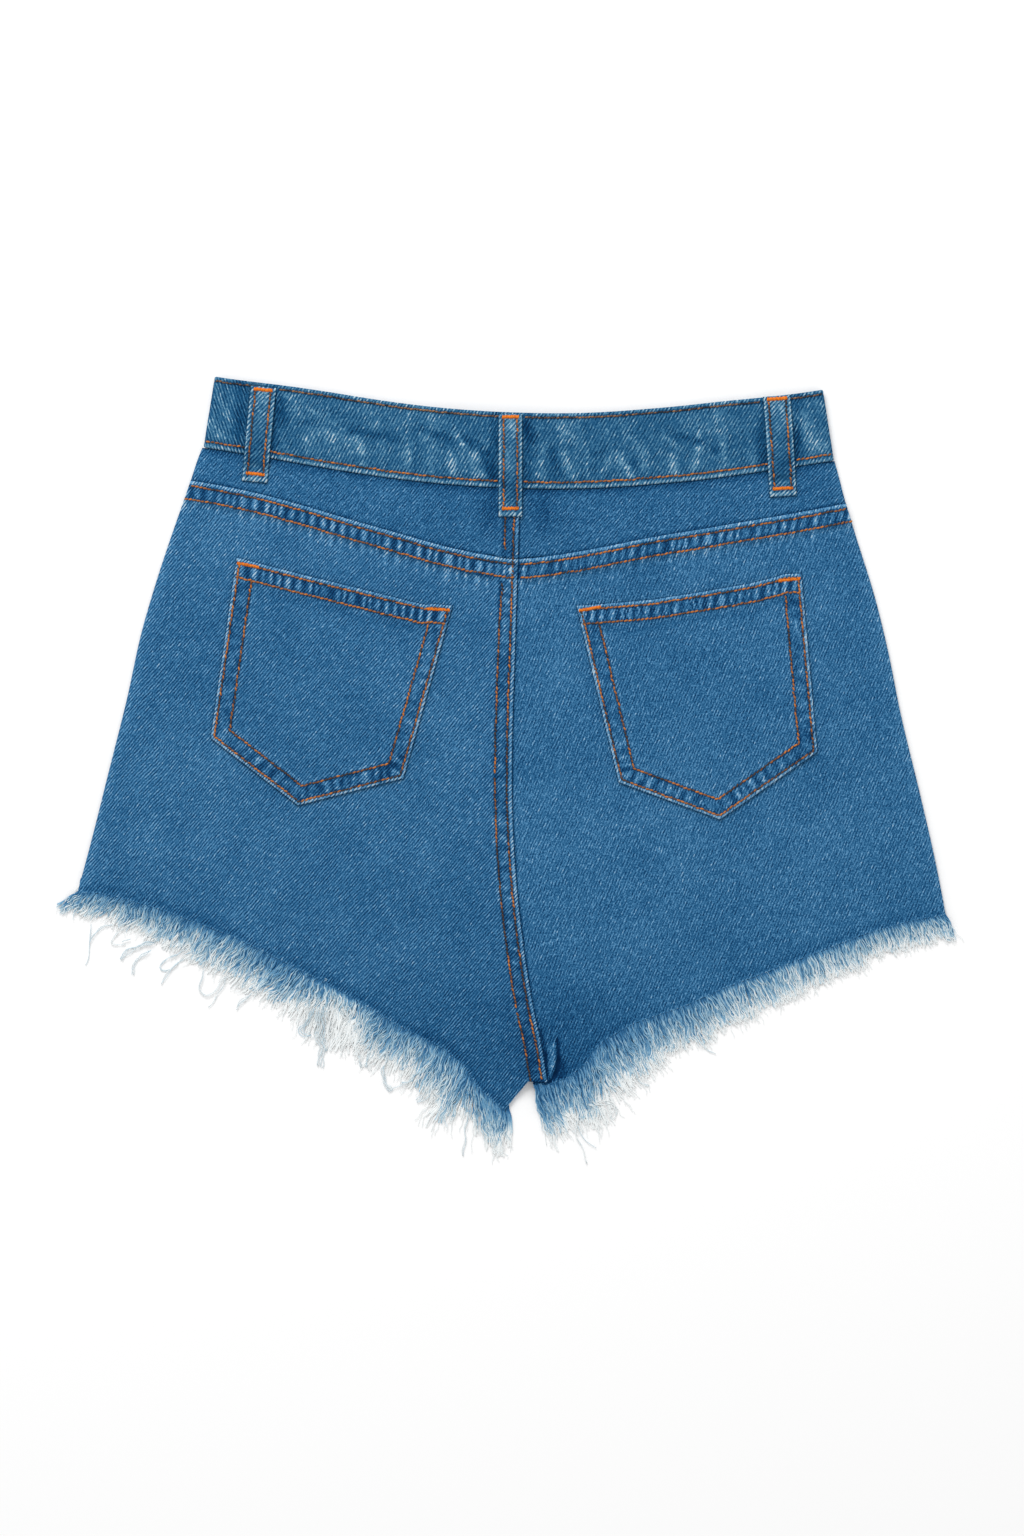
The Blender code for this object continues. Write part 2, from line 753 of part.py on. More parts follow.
def make_fringe(fringe, hem):
    """Strands fused into the strip that carries them, sinking to the floor at their tips."""
    line = Line(hem)
    inset = STRIP_INSET / line.length
    spots = np.linspace(inset, 1 - inset, fringe.count + 1)
    sign = 1 if line.normal(0.5)[1] < 0 else -1
    height = back_height if fringe.layer == "back" else lambda x, y: WALL

    bm = bmesh.new()
    roots = fringe_strip(bm, line, spots, sign, height)
    starts = [np.array(face.calc_center_median()) / MM for face in roots]
    paths = strand_paths(fringe, line, spots, sign, starts)
    for ring in STRAND_RINGS:
        roots = bmesh.ops.extrude_discrete_faces(bm, faces=roots)["faces"]
        for face, middle in zip(roots, paths):
            old = np.array(face.calc_center_median())
            for vertex in face.verts:
                offset = (np.array(vertex.co) - old) * (ring.width, ring.width, ring.depth)
                vertex.co = middle(ring.reach) * MM + offset
    for face, middle in zip(roots, paths):
        tip = bmesh.ops.poke(bm, faces=[face])["verts"][0]
        tip.co = middle(1) * MM
    add_object(fringe.name, bm, FRAYED)


def clear_scene():
    for item in list(bpy.data.objects):
        bpy.data.objects.remove(item, do_unlink=True)


def build():
    clear_scene()
    bpy.context.scene.collection.children.link(bpy.data.collections.new("denim_shorts"))
    hems = {}
    for side in ("left", "right"):
        hems["front", side] = make_front(side)
        hems["back", side] = make_back(side)
        make_yoke(side)
    make_waistband()
    for pocket in POCKETS:
        make_pocket(pocket)
    for loop in BACK_LOOPS:
        make_back_loop(loop)
    make_front_loop("left", -FRONT_LOOP_X)
    make_front_loop("right", FRONT_LOOP_X)
    make_button()
    for fringe in FRINGES:
        make_fringe(fringe, hems[fringe.layer, fringe.side])


build()
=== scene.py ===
import math
from collections import namedtuple

import bpy
import numpy as np
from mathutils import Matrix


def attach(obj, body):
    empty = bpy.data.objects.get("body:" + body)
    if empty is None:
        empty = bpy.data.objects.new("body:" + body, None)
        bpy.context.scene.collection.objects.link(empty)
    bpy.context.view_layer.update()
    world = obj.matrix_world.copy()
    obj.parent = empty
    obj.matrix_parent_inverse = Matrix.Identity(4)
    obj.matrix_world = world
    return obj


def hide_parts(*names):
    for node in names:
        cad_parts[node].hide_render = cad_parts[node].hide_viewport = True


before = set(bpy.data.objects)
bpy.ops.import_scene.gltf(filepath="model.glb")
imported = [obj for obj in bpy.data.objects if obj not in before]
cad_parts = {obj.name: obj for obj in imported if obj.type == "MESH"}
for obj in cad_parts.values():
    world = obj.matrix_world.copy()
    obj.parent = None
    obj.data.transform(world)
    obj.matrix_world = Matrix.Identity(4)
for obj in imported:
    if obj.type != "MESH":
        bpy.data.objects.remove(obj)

print("frame loaded:", len(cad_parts), "nodes")
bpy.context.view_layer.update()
millimetre = 0.001

# the cut, in millimetres: +X is the wearer's right, +Y the waist, +Z out of the back

Side = namedtuple("Side", "y left right")
Seam = namedtuple("Seam", "y x")
Spot = namedtuple("Spot", "x y")
Loft = namedtuple("Loft", "y height")
Fold = namedtuple("Fold", "x y along across angle height")
Pocket = namedtuple("Pocket", "name side topStart topEnd footStart tip footEnd sag")
Loop = namedtuple("Loop", "name foot top width seam")
Fray = namedtuple("Fray", "along length lean wild under tone")
Mark = namedtuple("Mark", "x0 y0 x1 y1 width strength")
Layer = namedtuple("Layer", "rings pitch radius start begin end lean curl crimp tone lift tip")
Stray = namedtuple("Stray", "count width tone root points")


def rowsOf(kind, *rows):
    return [kind(*row) for row in rows]


cloth = {
    "wall": 1.0,
    "gap": 0.3,
    "lapWidth": 11.5,
    "lapSlope": 2.5,
    "tongue": 8.0,
    "edgeRound": 0.7,
    "edgeHeight": 2.25,
    "edgeWidth": 9.0,
    "thinnest": 0.25,  # share of the wall left at a rounded edge
    "bandReach": 70.0,  # how far down the fly and the button lift the back
    "foldReach": 40.0,
    "unevenness": 0.16,
    "unevenReach": 34.0,
    # painted shade on the inner sides, and a painted shadow line along flared rims
    "insideDeep": 0.35,
    "rimDeep": 1.2,
}
lapRise = cloth["wall"] + cloth["gap"]

sides = rowsOf(Side,
    (190, -180.0, 183.0), (176, -185.2, 187.3), (162, -189.4, 191.2), (141, -196.4, 198.1),
    (106, -207.3, 209.8), (78, -214.9, 217.4), (36, -223.3, 226.9), (-6, -232.9, 238.0),
    (-47, -242.3, 248.3), (-90, -253.0, 257.5))
centreSeam = rowsOf(Seam,
    (220, 2.5), (148, 2.3), (70, 1.5), (12, 1.0), (-17, 1.6), (-46, 3.4), (-75, 6.3), (-104, 10.4),
    (-133, 15.6), (-161, 22.0), (-180, 25.5))
bandEdge = rowsOf(Spot,
    (-181.5, 184.2), (-143, 178.8), (-119, 175.0), (-67, 168.1), (-35, 165.3), (0, 164.1), (49, 165.5),
    (78, 168.1), (107, 171.4), (142, 176.8), (184.5, 184.2))
yokeEdge = rowsOf(Spot,
    (-192, 165.0), (-171, 161.7), (-148, 157.4), (-125, 151.8), (-95.5, 143.7), (-66.4, 136.1),
    (-37.2, 128.6), (-19.7, 125.3), (0, 122.9), (27, 125.9), (50, 130.5), (79, 136.9), (107.5, 142.2),
    (136.4, 147.8), (165.3, 153.4), (196, 160.0))
hems = {
    "left": rowsOf(Spot,
        (-238.9, -75.8), (-226.6, -77.8), (-200.4, -84.8), (-180, -91.9), (-159.5, -99.1), (-139, -108.5),
        (-107.3, -123.8), (-86.2, -134.7), (-61.6, -149.0), (-35.2, -162.0), (-22.2, -172.2),
        (-14.4, -184.0)),
    "right": rowsOf(Spot,
        (245, -80.1), (234.6, -82.1), (207, -90.8), (186, -99.5), (153.5, -112.8), (124.7, -124.5),
        (104.1, -134.5), (75.2, -145.0), (59.8, -154.2), (52.5, -161.5), (47.0, -169.8), (38.5, -177.0),
        (27.5, -181.2)),
}
hemStartY = {"left": -76.0, "right": -78.4}
inseam = (Spot(0.9, -197.2), Spot(14.5, -179.8))
crotch = Spot(25.5, -180.0)
rightCorner = Spot(17.6, -181.6)
lofts = rowsOf(Loft,
    (-210, 3.7), (-120, 3.6), (-60, 3.65), (40, 3.75), (120, 3.8), (160, 3.9))
folds = rowsOf(Fold,
    (-205, 60, 90, 16, 78, 0.35), (-95, -70, 90, 28, 40, 0.30), (-50, 20, 70, 12, 95, -0.25),
    (60, -80, 80, 26, 118, 0.30), (185, -20, 90, 24, 105, -0.30), (215, 40, 80, 14, 100, 0.35),
    (34, -160, 16, 5, 105, 0.50))


# helpers for lengths, edges and heights

def ease(x):
    x = np.clip(x, 0, 1)
    return x * x * (3 - 2 * x)


def plateau(distance, flat, reach):
    return ease((reach - np.abs(distance)) / (reach - flat))


def bump(distance, width):
    # 1 in the middle, 0 from width on
    return ease(1 - np.abs(distance) / width)


def fade(distance, start, reach):
    # 1 up to the start, 0 a reach beyond it
    return ease(1 - (distance - start) / reach)


def grow(distance, start, reach):
    # 0 up to the start, 1 a reach beyond it
    return ease((distance - start) / reach)


def reader(rows, by, value):
    # reads one column of a table by another, smoothly
    table = np.array(sorted((getattr(row, by), getattr(row, value)) for row in rows), float)
    places, values = table.T
    slopes = np.gradient(values, places)

    def read(at):
        at = np.clip(at, places[0], places[-1])
        k = np.clip(np.searchsorted(places, at) - 1, 0, len(places) - 2)
        step = places[k + 1] - places[k]
        t = (at - places[k]) / step
        near = values[k] * (1 + 2 * t) + slopes[k] * step * t
        far = values[k + 1] * (3 - 2 * t) + slopes[k + 1] * step * (t - 1)
        return near * (1 - t) ** 2 + far * t**2

    return read


def wander(at, reach, seed):
    # smooth random values from -1 to 1 along a line
    knots = np.random.default_rng(seed).uniform(-1, 1, 512)
    at = np.asarray(at, float) / reach + 100
    k = np.floor(at).astype(int)
    t = ease(at - k)
    return knots[k % 512] * (1 - t) + knots[(k + 1) % 512] * t


def cloudy(x, y, reach, seed):
    # smooth random values from -1 to 1 over the plane
    knots = np.random.default_rng(seed).uniform(-1, 1, (128, 128))
    px, py = np.asarray(x, float) / reach + 40, np.asarray(y, float) / reach + 40
    i, j = np.floor(px).astype(int), np.floor(py).astype(int)
    s, t = ease(px - i), ease(py - j)
    low = knots[i % 128, j % 128] * (1 - s) + knots[(i + 1) % 128, j % 128] * s
    high = knots[i % 128, (j + 1) % 128] * (1 - s) + knots[(i + 1) % 128, (j + 1) % 128] * s
    return low * (1 - t) + high * t


def roping(along, pitch, seed):
    # the waves of a puckered seam, from -1 to 1, a little uneven
    phase = along / pitch + 0.42 * wander(along, 1.5 * pitch, seed)
    size = 0.66 + 0.40 * wander(along, 1.2 * pitch, seed + 1)
    return np.sin(2 * math.pi * phase) * size


def glow(x, y, middleX, middleY, reachX, reachY):
    # 1 at the middle of a round or oval spot, fading outwards
    return np.exp(-(((x - middleX) / reachX) ** 2) - ((y - middleY) / reachY) ** 2)


class Line:
    # a line through points of the plane, followed from 0 to 1
    def __init__(self, points, spots=None):
        self.points = np.array(points, float)
        steps = np.linalg.norm(np.diff(self.points, axis=0), axis=1)
        reach = np.concatenate(([0], np.cumsum(steps)))
        self.length = reach[-1]
        self.spots = reach / self.length if spots is None else np.array(spots, float)

    def at(self, t):
        return np.stack([np.interp(t, self.spots, self.points[:, k]) for k in (0, 1)], -1)

    def normal(self, t, span=5.0):
        # to the right of the line's direction, evened out over a span
        half = span / self.length
        step = self.at(np.minimum(t + half, 1)) - self.at(np.maximum(t - half, 0))
        step /= np.linalg.norm(step, axis=-1, keepdims=True)
        return np.stack([step[..., 1], -step[..., 0]], -1)


def segmentDistance(x, y, start, end):
    ax, ay = end[0] - start[0], end[1] - start[1]
    share = np.clip(((x - start[0]) * ax + (y - start[1]) * ay) / (ax**2 + ay**2), 0, 1)
    return np.hypot(x - start[0] - share * ax, y - start[1] - share * ay)


def lineAlong(x, y, points):
    # how far along a line the nearest of its points is
    best, along, before = np.full(np.shape(x), 1e9), np.zeros(np.shape(x)), 0.0
    for start, end in zip(points, points[1:]):
        away = segmentDistance(x, y, start, end)
        size = math.dist(start, end)
        share = ((x - start[0]) * (end[0] - start[0]) + (y - start[1]) * (end[1] - start[1])) / size
        along = np.where(away < best, before + np.clip(share, 0, size), along)
        best, before = np.minimum(best, away), before + size
    return along


def lineDistance(x, y, points):
    return np.min([segmentDistance(x, y, a, b) for a, b in zip(points, points[1:])], axis=0)


leftX = reader(sides, "y", "left")
rightX = reader(sides, "y", "right")
seamX = reader(centreSeam, "y", "x")
bandY = reader(bandEdge, "x", "y")
yokeY = reader(yokeEdge, "x", "y")
loftZ = reader(lofts, "y", "height")


def tongueX(y):
    return seamX(y) - cloth["tongue"]


sideX = {"left": leftX, "right": rightX}
centreX = {"left": seamX, "right": tongueX}

waistband = {
    "wall": 1.8,
    "height": 43.6,
    "sideHeight": 41.4,
    "taper": (110.0, 180.0),
    "top": 5.4,
    "buttonedEnd": 4.0,
    "underlapEnd": -32.0,
    "flyRise": 0.85,
    "flyMiddle": -9.0,
    "flySpan": (30.0, 80.0),
    "step": 1.5,
    "topStitch": 2.6,
    "footStitch": 3.5,
    "edgeRows": (0, 0.3, 0.7, 1.2, 1.9, 2.6, 3.3, 4.1, 5.2),
    "rowStep": 1.8,
    "whiskerPitch": 13.5,
    "worn": 0.7,
    "insideDeep": 0.4,
    "groove": 0.16,
    "loopShade": (-151, -3, 153),  # where the loops darken it
    "backRuns": ((-180.5, -157.6), (-144.0, -10.4), (4.6, 147.2), (163.0, 183.5)),
    "frontRuns": ((-178, -88), (-72, 2), (6, 72), (88, 181)),
}
# each span is how far out it is flat, and how far out it ends
button = {"x": -14.0, "depth": 1.8, "span": (9.5, 30.0), "farSpan": (12.0, 50.0)}
frontLoops = {"x": 80.0, "width": 13.5, "foot": 15.0, "wall": 1.2, "span": (16.0, 36.0)}
buttonRise = button["depth"] + cloth["gap"]
loopRise = frontLoops["wall"] + cloth["gap"]


def bandRise(x):
    # how far the fly and the button lift the back of the band
    underlap = waistband["flyRise"] * plateau(x - waistband["flyMiddle"], *waistband["flySpan"])
    return underlap + (buttonRise + 0.05) * plateau(x - button["x"], *button["farSpan"])


def frontLift(x):
    lifts = sum(plateau(x - side * frontLoops["x"], *frontLoops["span"]) for side in (-1, 1))
    return loopRise * lifts + buttonRise * plateau(x - button["x"], *button["span"])


def foldHeight(fold, x, y):
    turn = math.radians(fold.angle)
    along = (x - fold.x) * math.cos(turn) + (y - fold.y) * math.sin(turn)
    aside = (y - fold.y) * math.cos(turn) - (x - fold.x) * math.sin(turn)
    return fold.height * glow(along, aside, 0, 0, fold.along, fold.across)


def uneven(x, y):
    # the slow waves of cloth that has been worn
    return cloth["unevenness"] * cloudy(x, y, cloth["unevenReach"], 11)


def backHeight(x, y):
    below = bandY(x) - y
    loft = loftZ(y) + bandRise(x) * ease(1 - below / cloth["bandReach"])
    loft = loft + sum(foldHeight(fold, x, y) for fold in folds) * ease(below / cloth["foldReach"])
    middle = np.mean(inseam, axis=0)
    inset = np.minimum(x - leftX(y), rightX(y) - x)
    inset = np.minimum(inset, segmentDistance(x, y, inseam[0], middle))
    slack = np.clip(1 - inset / cloth["edgeWidth"], 0, 1)
    return cloth["edgeHeight"] + (loft - cloth["edgeHeight"]) * (1 - slack**2)


def lap(distance):
    width = cloth["lapWidth"]
    return lapRise * plateau(np.maximum(distance, 0), width, width + cloth["lapSlope"])


def yokeHeight(x, y, side):
    return backHeight(x, y) + (lap(seamX(y) - x) if side == "left" else 0)


def panelHeight(x, y, side):
    # outer side of a back panel, lapped over the yoke and at the centre seam
    if side == "left":
        return backHeight(x, y) + np.maximum(lap(yokeY(x) - y), lap(seamX(y) - x))
    return backHeight(x, y) + lap(yokeY(x) - y) * ease((x - seamX(y)) / 6)


def frontHeight(x, y, side):
    # outer side of a front panel, which is its underside here
    below = bandY(x) - y
    inset = np.minimum(x - leftX(y), rightX(y) - x)
    drop = 0.8 * fade(below, 0, 15) * grow(inset, 6, 14)
    height = np.maximum(frontLift(x) * ease((50 - below) / 30), drop)
    return height + (lapRise * ease((5 - x + seamX(y)) / 3) if side == "right" else 0)


def waistY(x):
    return bandY(x) - cloth["gap"]


def yokeFoot(x):
    tongue = cloth["tongue"] + cloth["gap"]
    return yokeY(x) + cloth["gap"] - tongue * ease((np.abs(x - seamX(122)) - 18) / 6)


def meet(seam, edge):
    y = float(seam(0))
    for _ in range(20):
        x = float(edge(y))
        y = float(seam(x))
    return x, y


def across(seam, start, end, steps=80):
    x = np.linspace(start[0], end[0], steps + 1)
    return Line(np.stack([x, seam(x)], -1))


def down(edge, start, end, steps=60):
    y = np.linspace(start[1], end[1], steps + 1)
    return Line(np.stack([edge(y), y], -1))


def spacing(near, step, far, length):
    # lines of points across a length: distances from its start, even steps, from its end
    count = max(int(round((length - near[-1] - far[0]) / step)), 2)
    k = np.arange(1, count) / count
    flat = np.concatenate((near, near[-1] * (1 - k) - far[0] * k, -np.array(far, float)))
    share = np.concatenate((np.zeros(len(near)), k, np.ones(len(far))))
    return flat, share


def patch(top, bottom, start, end, columns, rows):
    # points between four lines, by rows from top to bottom, with their distances from each
    mean = (start.length + end.length) / 2
    v = (rows[0] + rows[1] * mean) / mean
    width = (top.length * (1 - v) + bottom.length * v)[:, None]
    u = (columns[0] + columns[1] * width) / width
    length = start.length * (1 - u) + end.length * u
    v = (rows[0][:, None] + rows[1][:, None] * length) / length
    s, t = u[..., None], v[..., None]
    ruled = (1 - t) * top.at(u) + t * bottom.at(u) + (1 - s) * start.at(v) + s * end.at(v)
    shared = (1 - t) * ((1 - s) * top.at(0) + s * top.at(1))
    shared = shared + t * ((1 - s) * bottom.at(0) + s * bottom.at(1))
    reach = {
        "top": v * length,
        "bottom": (1 - v) * length,
        "start": u * width,
        "end": (1 - u) * width,
    }
    return ruled - shared, reach


def sideGrid(side, topEdge, bottom, columns, rows):
    # points of a piece from its side to the centre seam, between a top edge and a line below
    corners = [meet(topEdge, edge[side]) for edge in (sideX, centreX)]
    top = across(topEdge, *corners)
    start = down(sideX[side], corners[0], bottom.points[0])
    end = down(centreX[side], corners[1], bottom.points[-1])
    columns, rows = spacing(*columns, top.length), spacing(*rows, (start.length + end.length) / 2)
    grid, reach = patch(top, bottom, start, end, columns, rows)
    return grid, reach, grid[..., 0], grid[..., 1]


# shader groups, built once and placed in each material

def newGroup(name, inputs, outputs):
    # inputs are numbers, apart from a vector, which has no value of its own
    group = bpy.data.node_groups.new(name, "ShaderNodeTree")
    for label, value in inputs.items():
        kind = "NodeSocketVector" if value is None else "NodeSocketFloat"
        socket = group.interface.new_socket(label, in_out="INPUT", socket_type=kind)
        if value is not None:
            socket.default_value = value
    for label in outputs:
        group.interface.new_socket(label, in_out="OUTPUT", socket_type="NodeSocketFloat")
    given, made = group.nodes.new("NodeGroupInput"), group.nodes.new("NodeGroupOutput")
    return group, given.outputs, made.inputs


def join(tree, value, socket):
    if hasattr(value, "is_output"):
        tree.links.new(value, socket)
    else:
        socket.default_value = value


def newNode(tree, kind, **values):
    node = tree.nodes.new("ShaderNode" + kind)
    for label, value in values.items():
        join(tree, value, node.inputs[label])
    return node


def maths(tree, operation, *values, clamp=False):
    node = newNode(tree, "Math")
    node.operation = operation
    node.use_clamp = clamp
    for value, socket in zip(values, node.inputs):
        join(tree, value, socket)
    return node.outputs[0]


def scaled(tree, value, factor, added, clamp=False):
    return maths(tree, "MULTIPLY_ADD", value, factor, added, clamp=clamp)


def centred(tree, value):
    return maths(tree, "SUBTRACT", value, 0.5)


def splitVector(tree, vector):
    node = newNode(tree, "SeparateXYZ", Vector=vector)
    return node.outputs["X"], node.outputs["Y"]


def noise(tree, vector, scale, detail=1.0):
    return newNode(tree, "TexNoise", Vector=vector, Scale=scale, Detail=detail).outputs["Fac"]


def rescaled(tree, value, low, high):
    # stretches a value so that low to high becomes 0 to 1
    node = newNode(tree, "MapRange", **{"Value": value, "From Min": low, "From Max": high})
    node.interpolation_type = "SMOOTHSTEP"
    return node.outputs["Result"]


def drawnOut(tree, x, y, grain):
    # noise whose grains are that far apart across and along
    x, y = (maths(tree, "DIVIDE", value, size) for value, size in zip((x, y), grain))
    return noise(tree, newNode(tree, "CombineXYZ", X=x, Y=y).outputs[0], 1.0)


weave = {
    "sway": {"scale": 36.0, "size": 0.0022},
    "jitter": {"scale": 330.0, "size": 0.0006},
    "dash": (2.2, 0.9),  # in spacings of the lines
    "dashRange": (0.34, 0.66),
    "fleck": (0.0032, 0.00095),
    "fleckRange": (0.48, 0.72),
    "yarn": (0.00058, 0.00095),
    "yarnRange": (0.28, 0.72),
}


def twillGroup():
    # diagonal lines of a twill, broken into dashes, and the grain of its upright yarns
    inputs = {"Vector": None, "Direction": 0.84, "Spacing": 0.0015, "Dashes": 0.5}
    group, given, made = newGroup("Twill", inputs, ("Lines", "Yarn", "Flecks"))
    angle = maths(group, "MULTIPLY", given["Direction"], -1.0)
    turn = newNode(group, "VectorRotate", Vector=given["Vector"], Angle=angle)
    turn.rotation_type = "Z_AXIS"
    x, y = splitVector(group, turn.outputs[0])
    for drift in (weave["sway"], weave["jitter"]):
        y = scaled(group, centred(group, noise(group, given["Vector"], drift["scale"])), drift["size"], y)
    period = maths(group, "DIVIDE", y, given["Spacing"])
    wave = maths(group, "SINE", maths(group, "MULTIPLY", period, 2 * math.pi))
    run = maths(group, "DIVIDE", x, given["Spacing"])
    broken = rescaled(group, drawnOut(group, run, period, weave["dash"]), *weave["dashRange"])
    share = scaled(group, scaled(group, broken, 2.0, -1.0), given["Dashes"], 1.0)
    join(group, scaled(group, maths(group, "MULTIPLY", wave, share), 0.5, 0.5), made["Lines"])
    # pale dashes where a yarn has lost more of its colour
    flecks = drawnOut(group, x, y, weave["fleck"])
    join(group, rescaled(group, flecks, *weave["fleckRange"]), made["Flecks"])
    yarn = drawnOut(group, *splitVector(group, given["Vector"]), weave["yarn"])
    join(group, rescaled(group, yarn, *weave["yarnRange"]), made["Yarn"])
    return group


washing = {
    "blots": ((210.0, 1.0, 0.7), (55.0, 2.0, 1.0), (14.0, 1.0, 0.7)),  # scale, detail, share
    "wornContrast": 0.5,
    "worn": 0.34,
    "wornFlecks": 0.26,
    "darkAndShade": -0.36,
}


def washGroup():
    # tone of washed indigo, from 0, dark, to 1, bare cotton
    inputs = {"Vector": None, "Lines": 0.5, "Yarn": 0.5, "Flecks": 0.0, "Base": 0.44, "Contrast": 0.3,
              "Grain": 0.25, "Pale": 0.15, "Mottle": 0.12, "Worn": 0.0, "Deep": 0.0}
    group, given, made = newGroup("Wash", inputs, ("Tone",))
    contrast = scaled(group, given["Worn"], washing["wornContrast"], 1.0)
    contrast = maths(group, "MULTIPLY", contrast, given["Contrast"])
    tone = scaled(group, centred(group, given["Lines"]), contrast, given["Base"])
    tone = scaled(group, centred(group, given["Yarn"]), given["Grain"], tone)
    for scale, detail, share in washing["blots"]:
        blot = centred(group, noise(group, given["Vector"], scale, detail))
        tone = scaled(group, maths(group, "MULTIPLY", blot, given["Mottle"]), 2.0 * share, tone)
    tone = scaled(group, given["Worn"], washing["worn"], tone)
    pale = scaled(group, given["Worn"], washing["wornFlecks"], given["Pale"])
    tone = scaled(group, given["Flecks"], pale, tone)
    # darker by the darkAndShade field: darker dye and needle lines, and also painted shade and painted
    # shadow lines
    tone = scaled(group, given["Deep"], washing["darkAndShade"], tone)
    join(group, maths(group, "MAXIMUM", tone, 0.0), made["Tone"])
    return group


twill, wash = twillGroup(), washGroup()
print("shader groups built")


def place(tree, group, **values):
    node = newNode(tree, "Group")
    node.node_tree = group
    for label, value in values.items():
        join(tree, value, node.inputs[label])
    return node.outputs


def attribute(tree, name):
    node = newNode(tree, "Attribute")
    node.attribute_name = name
    return node.outputs["Fac"]


def objectPlace(tree):
    return newNode(tree, "TexCoord").outputs["Object"]


def newMaterial(name, roughness):
    made = bpy.data.materials.new(name)
    made.use_nodes = True
    shader = made.node_tree.nodes["Principled BSDF"]
    shader.inputs["Roughness"].default_value = roughness
    shader.inputs["Specular IOR Level"].default_value = denimLook["specular"]
    return made, made.node_tree, shader


def paint(tree, shader, value, stops):
    # a ramp of colours by a value from 0 to 1
    node = newNode(tree, "ValToRGB", Fac=value)
    ramp = node.color_ramp
    while len(ramp.elements) < len(stops):
        ramp.elements.new(0.5)
    for element, (at, colour) in zip(ramp.elements, stops):
        element.position = at
        element.color = (*colour, 1)
    join(tree, node.outputs["Color"], shader.inputs["Base Color"])


def relief(tree, shader, height, distance, strength):
    node = newNode(tree, "Bump", Distance=distance, Strength=strength, Height=height)
    join(tree, node.outputs["Normal"], shader.inputs["Normal"])


denimLook = {
    "light": 1.246,
    "stops": (
        (0.0, (4, 40, 78)), (0.22, (17, 72, 117)), (0.44, (46, 104, 148)),
        (0.62, (80, 137, 181)), (0.80, (114, 167, 206)), (1.0, (180, 206, 222))),
    "bandStops": (
        (0.0, (4, 38, 72)), (0.22, (14, 70, 111)), (0.44, (41, 97, 137)),
        (0.62, (77, 129, 162)), (0.80, (120, 165, 190)), (1.0, (192, 211, 220))),
    "roughness": 0.92,
    "specular": 0.06,
    "relief": 0.00013,
    "reliefStrength": 0.6,
}


def linear(level):
    level /= 255
    return level / 12.92 if level <= 0.04045 else ((level + 0.055) / 1.055) ** 2.4


def tinted(stops, light=denimLook["light"]):
    # colours picked as red, green and blue up to 255, for a light of that strength
    return [(at, [linear(level) / light for level in colour]) for at, colour in stops]


def denimMaterial(name, direction, spacingOf, dashes, contrast, base, grain, pale, mottle=0.06,
                  turned=0, stops="stops"):
    made, tree, shader = newMaterial(name, denimLook["roughness"])
    where = objectPlace(tree)
    angle = math.radians(direction)
    if turned:
        # where "turned" is 1 the cloth was cut the other way
        angle = scaled(tree, attribute(tree, "turned"), math.radians(turned), angle)
    lines = place(tree, twill, Vector=where, Direction=angle, Spacing=spacingOf * millimetre, Dashes=dashes)
    tone = place(
        tree, wash, Vector=where, Lines=lines["Lines"], Yarn=lines["Yarn"], Flecks=lines["Flecks"],
        Base=base, Contrast=contrast, Grain=grain, Pale=pale, Mottle=mottle,
        Worn=attribute(tree, "worn"), Deep=attribute(tree, "darkAndShade"),
    )["Tone"]
    paint(tree, shader, tone, tinted(denimLook[stops]))
    height = scaled(tree, lines["Yarn"], 0.5, lines["Lines"])
    relief(tree, shader, height, denimLook["relief"], denimLook["reliefStrength"])
    return made


# direction of the twill lines in degrees and their spacing on each part of the shorts, and its wash
denims = {
    "leftPanel": denimMaterial(
        "denimLeftPanel", 50, 1.5, dashes=0.5, contrast=0.40, base=0.38, grain=0.28, pale=0.20),
    "rightPanel": denimMaterial(
        "denimRightPanel", 68, 1.66, dashes=0.9, contrast=0.24, base=0.385, grain=0.38, pale=0.21),
    "yoke": denimMaterial(
        "denimYoke", 52, 1.55, dashes=0.75, contrast=0.30, base=0.35, grain=0.34, pale=0.21),
    "band": denimMaterial(
        "denimBand", 62, 1.8, dashes=0.6, contrast=0.34, base=0.36, grain=0.25, pale=0.24, mottle=0.09,
        turned=48, stops="bandStops"),
    "loop": denimMaterial(
        "denimLoop", 48, 1.8, dashes=0.4, contrast=0.38, base=0.40, grain=0.22, pale=0.26, mottle=0.10,
        stops="bandStops"),
}
threadLook = {
    "rust": ((70, 64, 62), (206, 130, 66), 0.75),  # dark, bright, roughness
    "brown": ((48, 52, 60), (164, 124, 90), 0.75),
    "bright": ((190, 88, 28), (250, 142, 46), 0.6),
    "ply": 1300.0,
    "plyTone": 1.1,
    "range": (0.12, 0.92),
    "relief": 0.0002,
}
yarnLook = {
    "stops": (
        (0.0, (22, 74, 120)), (0.25, (58, 115, 160)), (0.5, (112, 162, 195)),
        (0.72, (176, 204, 218)), (1.0, (240, 243, 243))),
    "light": 1.08,  # yarns shade each other, so their own colours are lighter than they look
    "roughness": 0.95,
    "fibre": 1100.0,
    "fibreTone": 0.34,
}


def threadMaterial(kind):
    # twisted sewing thread, whose tone changes from stitch to stitch
    dark, bright, roughness = threadLook[kind]
    made, tree, shader = newMaterial(f"{kind}Thread", roughness)
    ply = noise(tree, objectPlace(tree), threadLook["ply"])
    tone = scaled(tree, ply, threadLook["plyTone"], centred(tree, attribute(tree, "tone")), clamp=True)
    paint(tree, shader, tone, tinted(zip(threadLook["range"], (dark, bright))))
    relief(tree, shader, ply, threadLook["relief"], 0.5)
    return made


